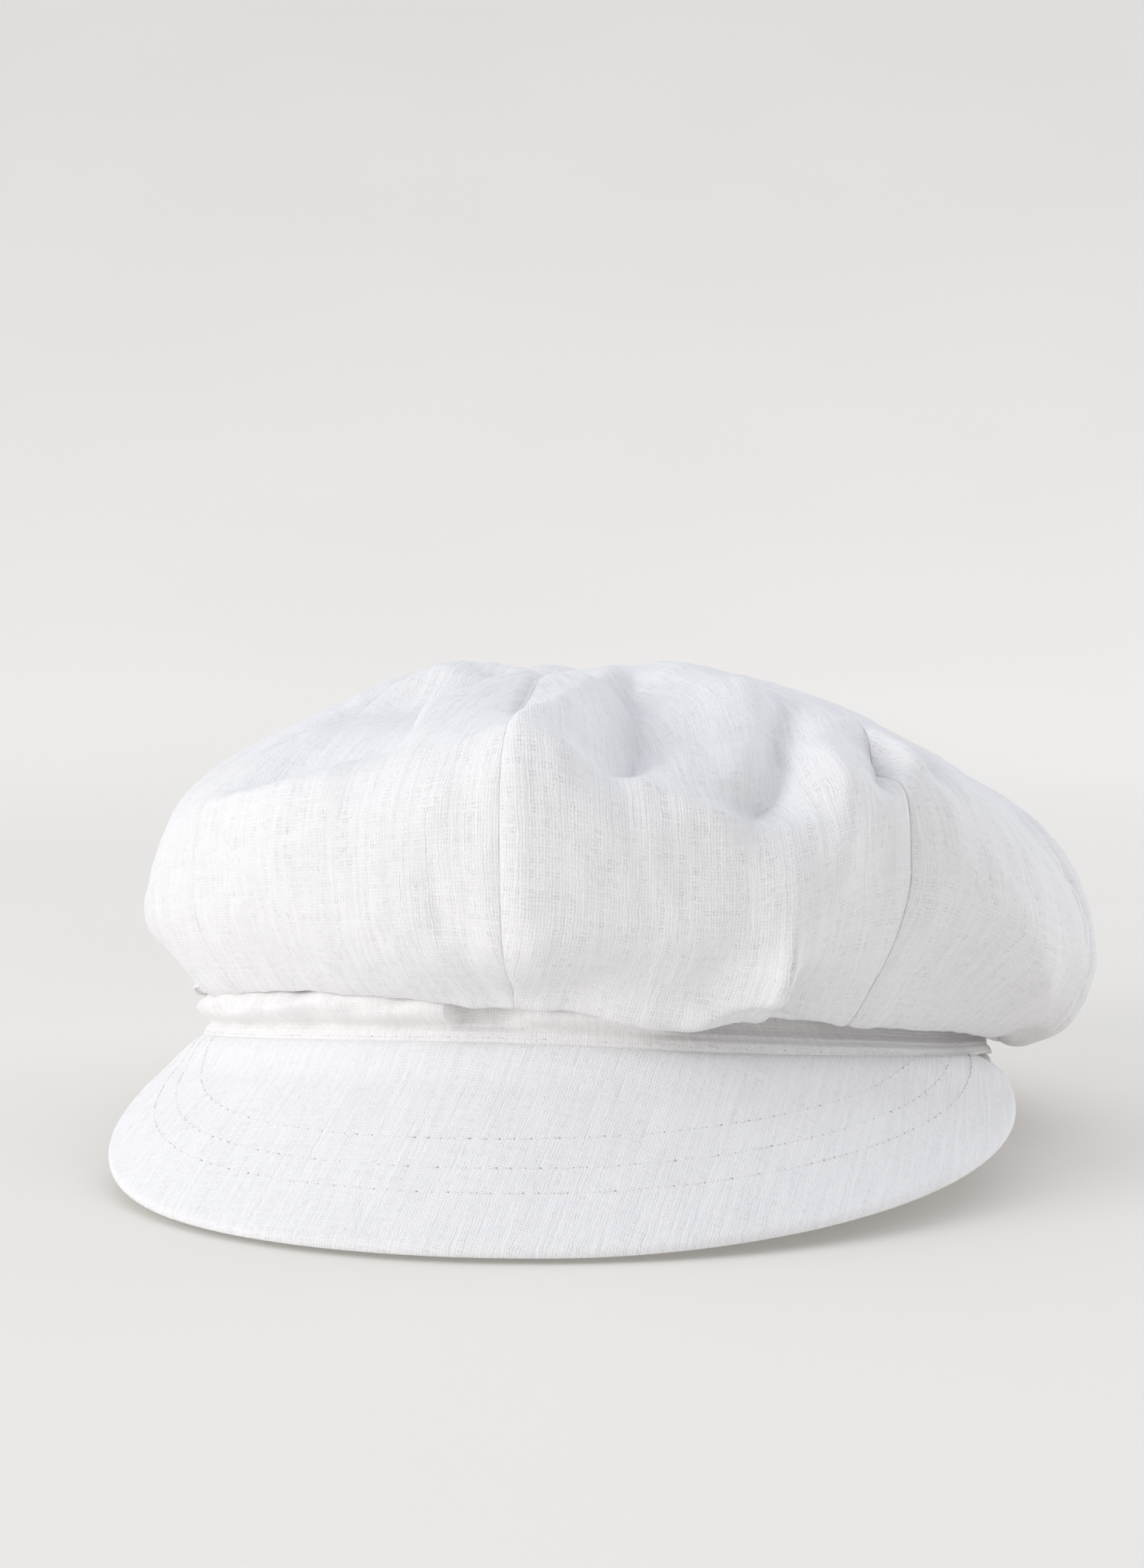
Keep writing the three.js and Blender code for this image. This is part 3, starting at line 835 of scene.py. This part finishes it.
def crown_panel(number):
    station = np.tile(station_steps(), (ROWS_ACROSS + 1, 1))
    even = np.linspace(0, 1, ROWS_ACROSS + 1)[:, None]
    share = mix(even, 0.5 - 0.5 * np.cos(np.pi * even), CLOSER_AT_SEAMS)
    left, right = seam_angle(number, station), seam_angle(number + 1, station)
    angle = mix(left, right, share)
    (out, height), (along_out, along_height) = crown_base(angle, station)
    radius = band_radius(angle) + out
    inset = np.degrees(SEAM["inset"] / radius)
    angle = mix(left + inset, right - inset, share)
    nearest = np.minimum(angle - left, right - angle)
    distance = np.radians(nearest) * radius
    plain = crown_place(angle, station, out, height)

    # Places in the flat cloth: across from the panel's centre line, and along from the band
    middle = plain[ROWS_ACROSS // 2]
    step = np.linalg.norm(np.diff(middle, axis=0), axis=-1)
    along = np.broadcast_to(np.concatenate([[0], np.cumsum(step)]), station.shape)
    sideways = np.linalg.norm(np.diff(plain, axis=0), axis=-1)
    across = np.concatenate([np.zeros((1, station.shape[1])), np.cumsum(sideways, 0)])
    across = across - across[ROWS_ACROSS // 2]

    pull = mix(SEAMS["pull"][number], SEAMS["pull"][(number + 1) % PANELS], share)
    lift = fold_lift(plain) + seam_lift(nearest, station, distance, pull)
    lift = lift + ruffle(number, across, along, distance, station)
    outside = crown_place(angle, station, out + along_height * lift, height - along_out * lift)
    inside = outside - CLOTH * grid_normals(outside)
    cloth = np.stack([across, along, distance], -1)
    return cloth_mesh(PANEL_NAMES[number] + "_cloth", outside, inside, cloth)


def dress(piece, material, slot, *nodes):
    """Finish a piece, tie it to the frame and let it stand for its solids."""
    piece.data.materials.append(material)
    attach(piece, "root")
    if nodes:
        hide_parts(*nodes)


for number, node in enumerate(PANEL_NAMES):
    panel = crown_panel(number)
    dress(panel, CROWN_LINEN, "crown_linen", node)
    print(panel.name, len(panel.data.polygons), "faces")

# %% [markdown]
# ## The band
#
# The band is a straight strip sewn into a ring. Its lower edge is turned up into a narrow hem,
# which shows as a pale lip above the peak. On the left of the front the band is slack and bulges
# forwards in soft wrinkles, and there it catches the light under the edge of the crown.

# %% Band
BAND_ANGLES = np.linspace(-180, 180, 540, endpoint=False)  # joined at the back
BAND_RADIUS = 92  # about, to turn angles into a length of cloth
HEM_ROWS = 12
WALL_ROWS = 26
HEM_LOW = -0.9  # the hem reaches a little below the band and covers the seam of the peak
HEM_TOP = 1.8
HEM_OUT = 2.5
HEM_SLOPE = 0.65  # share of that by which its top is further in
BACK_HEM = 0.5  # share of it that is left behind the peak
PEAK_ENDS = [52, 84]  # angles between which the hem changes to the one behind
NO_SEAM = 5  # stands for the distance from a seam where a piece has none of its own

# Each of these grows and fades between four angles
SLACK = {"angles": [-84, -54, -10.2, -9.0], "out": 4.8, "wrinkles": 0.25, "reach": 1.3}
SWELL = {"angles": [-5, 3, 14, 22], "out": 3.2}
RECESS = {"angles": [13, 22, 83, 92], "in": 4.0}
END_TUCK = {"angles": [-9.6, -8.6, -4.6, 0], "in": 2.0}


def band_profile():
    """Distance out and height of the band's outside: a flat sloping hem, then the plain wall."""
    rise = np.linspace(0, 1, HEM_ROWS)
    hem_out = HEM_OUT * (1 - HEM_SLOPE * rise) * (1 - rise**10)
    hem = np.stack([hem_out, mix(HEM_LOW, HEM_TOP, rise)], -1)
    wall_height = np.linspace(HEM_TOP + 0.3, BAND["height"], WALL_ROWS)
    wall = np.stack([np.zeros(WALL_ROWS), wall_height], -1)
    return np.concatenate([[[0.0, 0.0], [0.9, 0.6 * HEM_LOW]], hem, wall])


def band_slack(angle, height):
    """How far the loose cloth of the band stands out: wrinkled on the left, plain in front."""
    strip = np.maximum(section("fold_z", angle) - band_edge(angle) - BAND["hem"], 1)
    share = np.clip((height - BAND["hem"]) / strip / SLACK["reach"], 0, 1)
    wrinkled = 1 + SLACK["wrinkles"] * waves(5, np.radians(angle) * BAND_RADIUS, height, 16, 7)
    slack = SLACK["out"] * window(angle, *SLACK["angles"]) * wrinkled
    swell = SWELL["out"] * window(angle, *SWELL["angles"])
    return (slack + swell) * np.sin(np.pi * share) ** 0.8


def band_tuck(angle, height):
    """How far the band is pushed in: deep in the recess on the right, and beside the slack."""
    recess = RECESS["in"] * window(angle, *RECESS["angles"])
    beside = END_TUCK["in"] * window(angle, *END_TUCK["angles"])
    share = np.clip((height - BAND["hem"]) / (BAND["height"] - BAND["hem"]), 0, 1)
    return (recess + beside) * np.sin(np.pi * share) ** 0.45


def band():
    angle = BAND_ANGLES[:, None]
    out, height = band_profile().T[:, None]

    # Behind the peak the hem is thinner and ends level with the band
    behind = smoothstep(np.abs(angle), *PEAK_ENDS)
    out = out * mix(1, BACK_HEM, behind)
    hem_share = np.clip((HEM_TOP - height) / (HEM_TOP - HEM_LOW), 0, 1)
    height = height - HEM_LOW * behind * hem_share

    along = np.radians(angle) * BAND_RADIUS
    bump = 0.10 * waves(6, along, height, 7, 9) + 0.08 * waves(7, along, height, 3, 12)
    tuck = band_tuck(angle, height)
    lifted = out - tuck + band_slack(angle, height) + bump * smoothstep(height, 0.0, 1.0)
    edge = band_edge(angle)
    front = grid_points(*plan(angle, lifted), edge + height)
    back = grid_points(*plan(angle, -BAND["wall"] - tuck), edge + np.maximum(height, 0))
    cloth = grid_points(along, height, NO_SEAM)
    return cloth_mesh("band_cloth", front, back, cloth, wraps=True), front


band_piece, band_front = band()
dress(band_piece, BAND_LINEN, "band_linen", "band")
print("band:", len(band_piece.data.polygons), "faces")

# %% [markdown]
# ## The peak
#
# The peak is a crescent of stiff board covered with the same linen. It slopes from under the hem
# down to the table. The formulas below give a point half way through its thickness, from a place
# round the crescent and a share of the way out from the head.

# %% Peak
COVER = {"out": 3.0, "grows": [-0.9, -0.1]}  # the loose cover reaches further than the board


def peak_angle(t):
    """Angle at a share of the way from the middle of the peak, -1 on the left to 1 on the right."""
    return PEAK["centre"] + t * PEAK["half_angle"]


def peak_reach(t):
    crescent = 1 - np.abs(t) ** PEAK["roundness"]
    board = PEAK["reach"] * crescent * (1 - PEAK["left_bias"] * t)
    cover = COVER["out"] * crescent * smoothstep(t, *COVER["grows"])
    return np.maximum(PEAK["corner_reach"], board) + cover


def peak_seam_height(angle):
    return band_edge(angle) - GAP - PEAK["thickness"]


def peak_edge_height(t):
    start = np.where(t < 0, PEAK["left_lift_start"], 0)
    power = np.where(t < 0, PEAK["left_lift_power"], PEAK["right_lift_power"])
    share = np.maximum(0, (np.abs(t) - start) / (1 - start))
    return peak_seam_height(peak_angle(np.sign(t))) * share**power


def peak_middle(t, share):
    """A point half way through the thickness of the peak."""
    angle = peak_angle(t)
    seat, reach = -BAND["wall"], peak_reach(t)
    high, low = peak_seam_height(angle), peak_edge_height(t)
    lean = np.arctan2(high - low, reach - seat)
    bow = PEAK["bow"] * np.sin(np.pi * share) * (1 - t**4)
    half = PEAK["thickness"] / 2
    x, y = plan(angle, mix(seat, reach, share) + half * np.sin(lean) * share)
    return grid_points(x, y, mix(high, low, share) + bow + half * mix(1, np.cos(lean), share))


print(f"the peak reaches {peak_reach(0.0):.1f} mm out from the band in its middle")

# %% [markdown]
# ## The cover of the peak
#
# The cover is stretched over the board and turned in at the edge, which is a soft round fold. It
# was cut flat, and a flat crescent bent round the head becomes part of a cone. The threads are
# straight on the flat crescent, so they fan out on the bent one, and the places in the flat cloth
# are worked out from that cone.

# %% Peak cover
PEAK_ROWS = 230
PEAK_COLUMNS = 52
EDGE_COLUMNS = 9
GRAIN_TURN = 15  # degrees between the threads and the middle of the peak
UNDERCUT = 0.85  # share of the lower half that is missing at the edge
UNDERCUT_WIDTH = 6
THIN_EDGE = 0.02  # share of the thickness that is left at the very edge
# The cover swells between four distances from the hem, less where the peak is narrow
SEAM_ROLL = {"height": 1.9, "distances": [0.3, 4.2, 4.2, 15], "narrow": [6, 16]}


def peak_grids():
    """Middle surface of the peak, its distance from the edge, and the thickness there."""
    t = np.sin(np.pi / 2 * np.linspace(-1, 1, PEAK_ROWS + 1))[:, None]
    steps = np.diff(peak_middle(t, np.linspace(0, 1, 40)), axis=1)
    length = np.linalg.norm(steps, axis=-1).sum(1)[:, None]
    radius = PEAK["thickness"] / 2
    rounded = 1 - np.sin(np.linspace(0, np.pi / 2, EDGE_COLUMNS))
    edge_share = np.minimum(radius * rounded / length, 0.4)
    inner = np.linspace(0, 1, PEAK_COLUMNS, endpoint=False) * (1 - edge_share[:, :1])
    share = np.concatenate([inner, 1 - edge_share], 1)
    middle = peak_middle(t, share)
    from_edge = (1 - share) * length
    within = np.clip(1 - from_edge / radius, 0, 1)
    thickness = PEAK["thickness"] * np.sqrt(np.maximum(1 - within**2, THIN_EDGE**2))
    return t, share, middle, from_edge, share * length, thickness


def flat_crescent(t, middle):
    """Places in the flat cloth: the peak rolled out like the side of a cone."""
    slope = math.atan2(FRONT_LIFT, PEAK["reach"])
    seam_radius = HALF_DEPTH / math.cos(slope)
    steps = np.linalg.norm(np.diff(middle, axis=1), axis=-1)
    down = np.concatenate([np.zeros((len(middle), 1)), np.cumsum(steps, 1)], 1)
    turn = np.radians(PEAK["half_angle"] * t) * math.cos(slope)
    radius = seam_radius + down
    x, y = radius * np.sin(turn), -radius * np.cos(turn)
    grain = math.radians(GRAIN_TURN)
    across = x * math.cos(grain) - y * math.sin(grain)
    along = x * math.sin(grain) + y * math.cos(grain)
    return across, along


def peak():
    t, share, middle, from_edge, from_seam, thickness = peak_grids()
    across, along = flat_crescent(t, middle)
    normal = -grid_normals(middle)  # rows run to the right and columns downwards, so turn them up
    free = smoothstep(share, 0, 0.25)
    dimples = 0.10 * waves(90, across, along, 16, 18) + 0.05 * waves(91, across, along, 6, 7)
    uneven = (dimples * free)[..., None]
    half = thickness[..., None] / 2
    roll = SEAM_ROLL["height"] * window(from_seam, *SEAM_ROLL["distances"])
    roll = roll * smoothstep(from_seam[:, -1:], *SEAM_ROLL["narrow"])
    undercut = UNDERCUT * np.exp(-((from_edge / UNDERCUT_WIDTH) ** 2))
    top = middle + normal * (half + uneven + roll[..., None])
    underside = middle - normal * half * (1 - undercut[..., None])
    cloth = np.stack([across, along, from_edge], -1)
    return cloth_mesh("peak_cloth", top, underside, cloth), top, from_edge


peak_piece, peak_top, peak_from_edge = peak()
dress(peak_piece, PEAK_LINEN, "peak_linen", "peak")
print("peak:", len(peak_piece.data.polygons), "faces")

# %% [markdown]
# ## Stitches
#
# Three rows of machine stitches follow the edge of the peak and hold the cover on the board, and
# one row runs along the hem. A row is a line on the grid of the cloth, so it follows every bump,
# and the stitches lie on it at an almost even pitch.

# %% Stitches
STITCH = {"pitch": 2.9, "length": 2.2, "width": 0.2, "height": 0.14, "rise": 0.05}
STITCH_WANDER = 0.4  # how far a stitch may be from its even place
STITCH_ROWS = [13.2, 19, 26.2]  # distances from the edge of the peak
CORNER_ROOM = 2.5  # a row ends this far from the seam
HEM_STITCH_ROW = 6  # column of the band's grid that the stitches of the hem follow
HEM_STITCH_ANGLES = (-84, 92)


def line_on_peak(distance):
    """Points and normals on the top of the peak at one distance from its edge."""
    columns = np.arange(peak_from_edge.shape[1])
    normals = -grid_normals(peak_top)
    points, upright = [], []
    for row, place, normal in zip(peak_from_edge, peak_top, normals):
        if row[0] < distance + CORNER_ROOM:
            continue
        at = np.interp(distance, row[::-1], columns[::-1])
        before, share = int(at), at - int(at)
        points.append(mix(place[before], place[before + 1], share))
        upright.append(mix(normal[before], normal[before + 1], share))
    return np.array(points), np.array(upright)


def evenly(points, normals, seed):
    """Places at an almost even pitch along a line, with the direction and the normal there."""
    step = np.linalg.norm(np.diff(points, axis=0), axis=-1)
    along = np.concatenate([[0], np.cumsum(step)])
    random = np.random.default_rng(seed)
    marks = np.arange(STITCH["pitch"], along[-1] - STITCH["pitch"], STITCH["pitch"])
    marks = marks + random.uniform(-STITCH_WANDER, STITCH_WANDER, len(marks))
    place, up, ahead = (
        np.stack([np.interp(marks + shift, along, values[:, k]) for k in range(3)], -1)
        for values, shift in ((points, 0), (normals, 0), (points, 0.5))
    )
    ahead = ahead - place
    ahead = ahead / np.linalg.norm(ahead, axis=-1, keepdims=True)
    up = up / np.linalg.norm(up, axis=-1, keepdims=True)
    return place, ahead, up


peak_lines = [evenly(*line_on_peak(distance), 100 + n) for n, distance in enumerate(STITCH_ROWS)]
in_front = (BAND_ANGLES > HEM_STITCH_ANGLES[0]) & (BAND_ANGLES < HEM_STITCH_ANGLES[1])
hem_line, hem_normals = (
    grid[in_front, HEM_STITCH_ROW] for grid in (band_front, grid_normals(band_front, wraps=True))
)
hem_lines = [evenly(hem_line, hem_normals, 110)]
stitch_counts = [len(place) for place, _, _ in peak_lines + hem_lines]
print("stitches in each row:", stitch_counts)

# %% [markdown]
# ## Thread, and painted shade in the needle holes
#
# The thread is as white as the cloth, so what shows is mostly the shade in the small hole where the
# needle went in. Each stitch is a short flattened bead of thread, and each hole is a dark grey bead
# of painted shade that hardly rises from the cloth. All of one kind are joined in one mesh, because
# they never move apart.

# %% Thread and needle holes
# Shapes of the dark beads that paint the shade in the needle holes, on the peak and on the hem
NEEDLE = {"length": 0.46, "width": 0.19, "height": 0.05, "rise": 0.01}
HEM_NEEDLE = {"length": 0.32, "width": 0.12, "height": 0.05, "rise": 0.01}
BEAD_RINGS = 6
BEAD_SIDES = 8
BEAD_TIP = 0.08  # radians that are cut off at each end of a bead
BEAD_SIZES = (0.45, 1.1)
# Colour of the painted shade in the needle holes
NEEDLE_HOLE_SHADE_GREY = (0.46, 0.45, 0.45, 1)


def beads(places, aheads, ups, shape):
    """One small closed bead at each place: its points and its faces."""
    turn = 2 * np.pi * np.arange(BEAD_SIDES) / BEAD_SIDES
    rise = np.linspace(BEAD_TIP, np.pi - BEAD_TIP, BEAD_RINGS)[:, None]
    along = -np.cos(rise) * shape["length"] / 2
    aside = np.sin(rise) * shape["width"] * np.cos(turn)
    above = np.sin(rise) * shape["height"] * np.sin(turn) + shape["rise"]
    local = grid_points(along, aside, above).reshape(-1, 3)
    axes = np.stack([aheads, np.cross(ups, aheads), ups], 1)
    sizes = np.random.default_rng(len(places)).uniform(*BEAD_SIZES, (len(places), 1, 1))
    points = places[:, None] + sizes * np.einsum("pk,nkc->npc", local, axes)
    ring = np.arange(BEAD_SIDES)
    after = (ring + 1) % BEAD_SIDES
    faces = [
        np.stack([ring, after, after + BEAD_SIDES, ring + BEAD_SIDES], -1) + BEAD_SIDES * k
        for k in range(BEAD_RINGS - 1)
    ]
    cap = np.array([[0, 3, 2, 1], [0, 7, 4, 3], [4, 7, 6, 5]])
    faces += [cap, cap[:, ::-1] + BEAD_SIDES * (BEAD_RINGS - 1)]
    faces = np.concatenate(faces)
    first = np.arange(len(places))[:, None, None] * len(local)
    return points.reshape(-1, 3), (faces + first).reshape(-1, 4)


def sewn(name, lines, shape, shift, material, slot):
    """Beads along several lines as one piece; shift moves them ahead, in parts of the pitch."""
    points, faces, count = [], [], 0
    for place, ahead, up in lines:
        some, quads = beads(place + ahead * shift * STITCH["pitch"], ahead, up, shape)
        points.append(some)
        faces.append(quads + count)
        count += len(some)
    points = np.concatenate(points)
    piece = body(name, points, np.concatenate(faces), points)
    dress(piece, material, slot)
    print(name, len(piece.data.polygons), "faces")


# The needle holes are dark beads of painted shade, half a pitch after each stitch
NEEDLE_HOLE_PAINTED_SHADE = linen("needle_hole_painted_shade", 41, white=NEEDLE_HOLE_SHADE_GREY)
sewn("peak_stitches", peak_lines, STITCH, 0.0, PEAK_LINEN, "peak_linen")
sewn("peak_needle_hole_shade", peak_lines, NEEDLE, 0.5, NEEDLE_HOLE_PAINTED_SHADE, "peak_linen")
sewn("hem_stitches", hem_lines, STITCH, 0.0, BAND_LINEN, "band_linen")
sewn("hem_needle_hole_shade", hem_lines, HEM_NEEDLE, 0.5, NEEDLE_HOLE_PAINTED_SHADE, "band_linen")

# %% [markdown]
# ## The button
#
# A dome covered with a disc of the same linen, drawn tight underneath, sits where the eight seams
# meet. The cover pleats a little at the rim because the disc has too much cloth there.

# %% Button
BUTTON = {"radius": 9, "height": 5, "rim": 1.6, "sides": 96, "rings": 18}
UNDER_RIM = {"radius": [8, 8.8], "height": [0, 0.45]}  # two more rings, drawn in below the rim
BUTTON_TIP = 0.02  # radius of the last ring, which is all but closed
PLEATS = 0.12


def button():
    turn = np.linspace(0, 2 * np.pi, BUTTON["sides"], endpoint=False)[:, None]
    rise = np.linspace(0, np.pi / 2, BUTTON["rings"])
    dome = np.maximum(BUTTON["radius"] * np.cos(rise), BUTTON_TIP)
    dome_height = mix(BUTTON["rim"], BUTTON["height"], np.sin(rise))
    pleats = PLEATS * waves(95, turn * BUTTON["radius"], 0, 3.2, 9) * np.cos(rise) ** 6
    radius = np.append(UNDER_RIM["radius"], dome) + np.pad(pleats, [(0, 0), (2, 0)])
    x, y = radius * np.cos(turn), radius * np.sin(turn)
    centre = CROWN_CENTRE + [0, 0, CENTRE_HEIGHT + GAP]
    front = grid_points(x, y, np.append(UNDER_RIM["height"], dome_height))
    back = front * [0.8, 0.8, 0.0] + [0, 0, 0.2]
    cloth = grid_points(x, y, NO_SEAM)
    return cloth_mesh("button_cloth", front + centre, back + centre, cloth, wraps=True)


button_piece = button()
dress(button_piece, BUTTON_LINEN, "button_linen", "crown_button")
print("button:", len(button_piece.data.polygons), "faces")

# %% [markdown]
# ## The floor
#
# The cap lies on a pale warm table that sweeps up into a backdrop without a visible corner. A
# round dish does this for a camera on any side. It glows a little, for the light that a bright
# room throws back, and the table's own warmth comes up into the recess over the peak.

# %% Floor
DISH = {"flat": 1.0, "radius": 3.2, "height": 1.0, "sides": 96, "rings": 28}
DISH_EYE = 0.002  # radius of the dish's innermost ring
TABLE_TONES = [(0.75, 0.721, 0.674, 1), (0.764, 0.736, 0.693, 1)]
GLOW_COLOUR = (1.0, 0.983, 0.952, 1)
TABLE_GLOW = 0.125
BACKDROP_GLOW = 0.222


def floor_dish():
    turn = np.linspace(0, 2 * np.pi, DISH["sides"], endpoint=False)[:, None]
    radius = np.linspace(DISH_EYE, DISH["radius"], DISH["rings"])
    rise = np.maximum(0, radius - DISH["flat"]) / (DISH["radius"] - DISH["flat"])
    points = grid_points(radius * np.cos(turn), radius * np.sin(turn), DISH["height"] * rise**2)
    number = np.arange(turn.size * radius.size).reshape(turn.size, -1)
    number = np.concatenate([number, number[:1]])
    faces = np.stack([number[:-1, :-1], number[:-1, 1:], number[1:, 1:], number[1:, :-1]], -1)
    mesh = bpy.data.meshes.new("floor")
    mesh.from_pydata(points.reshape(-1, 3), [], faces.reshape(-1, 4).tolist(), shade_flat=False)
    made = bpy.data.objects.new("floor", mesh)
    bpy.context.scene.collection.objects.link(made)
    return made


def floor_material():
    material, n, shader = new_material("pale_table")
    place = n.new("TexCoord").outputs["Object"]
    tone = n.spread(n.noise(place, 3, 2), 0.3, 0.7)
    away = n.new("VectorMath", {0: place}, operation="LENGTH").outputs["Value"]
    look = {
        "Base Color": n.mixed(tone, *TABLE_TONES),
        "Roughness": 0.75,
        "Specular IOR Level": 0.2,
        "Emission Color": GLOW_COLOUR,
        "Emission Strength": n.spread(away, 0.3, 1.3, TABLE_GLOW, BACKDROP_GLOW),
    }
    n.fill(shader, look)
    return material


floor = floor_dish()
floor.data.materials.append(floor_material())
print("floor:", len(floor.data.polygons), "faces")

# %% [markdown]
# ## Light and air
#
# One big soft light stands low at the front left, so the left of the crown is the brightest place
# and the folds on the right fall away into grey. A smaller, weaker one stands behind on the right.
# The sky is slightly blue, which cools the upward surfaces, and it is darkest behind the camera.

# %% Light and air
SKY_COLOUR = (0.905, 0.94, 1.01, 1)
SKY = (0.47, 0.88)  # strength near the horizon and overhead
DARKER_TOWARDS = (0.5, -0.87, 0.0)  # the room behind the camera, on its right
DARKER = 0.2
# Place, target, side in metres, watts and colour of each square light
LAMPS = {
    "key": ((-1.53, -1.12, 0.76), (0, 0, 0.04), 1.3, 17.4, (1.0, 0.985, 0.972)),
    "fill": ((1.5, 0.85, 0.5), (0, 0, 0.05), 0.9, 7.0, (0.97, 0.98, 1.0)),
}


def soft_light(name, place, target, size, watts, colour):
    """A square light that shines from a place towards a target."""
    data = bpy.data.lights.new(name, "AREA")
    data.shape = "SQUARE"
    data.size = size
    data.energy = watts
    data.color = colour
    lamp = bpy.data.objects.new(name, data)
    lamp.location = place
    lamp.rotation_euler = (Vector(target) - Vector(place)).to_track_quat("-Z", "Y").to_euler()
    lamp.visible_camera = False
    bpy.context.scene.collection.objects.link(lamp)


for name, lamp in LAMPS.items():
    soft_light(name, *lamp)


def air():
    """A slightly blue sky, brightest overhead and darkest over the room behind the camera."""
    world = bpy.data.worlds.new("air")
    world.use_nodes = True
    n = Nodes(world.node_tree)
    direction = n.new("TexCoord").outputs["Generated"]
    upwards = n.new("SeparateXYZ", {0: direction}).outputs[2]
    both = {0: direction, 1: DARKER_TOWARDS}
    room = n.new("VectorMath", both, operation="DOT_PRODUCT").outputs["Value"]
    strength = n.plus(n.spread(upwards, 0.2, 0.9, *SKY), n.times(room, -DARKER))
    background = world.node_tree.nodes["Background"].inputs
    n.fill(background, {"Color": SKY_COLOUR, "Strength": strength})
    return world


bpy.context.scene.world = air()
bpy.context.scene.view_settings.view_transform = "Standard"

# %% [markdown]
# ## Sizes
#
# The dressed cap has to stay as big as the solids.
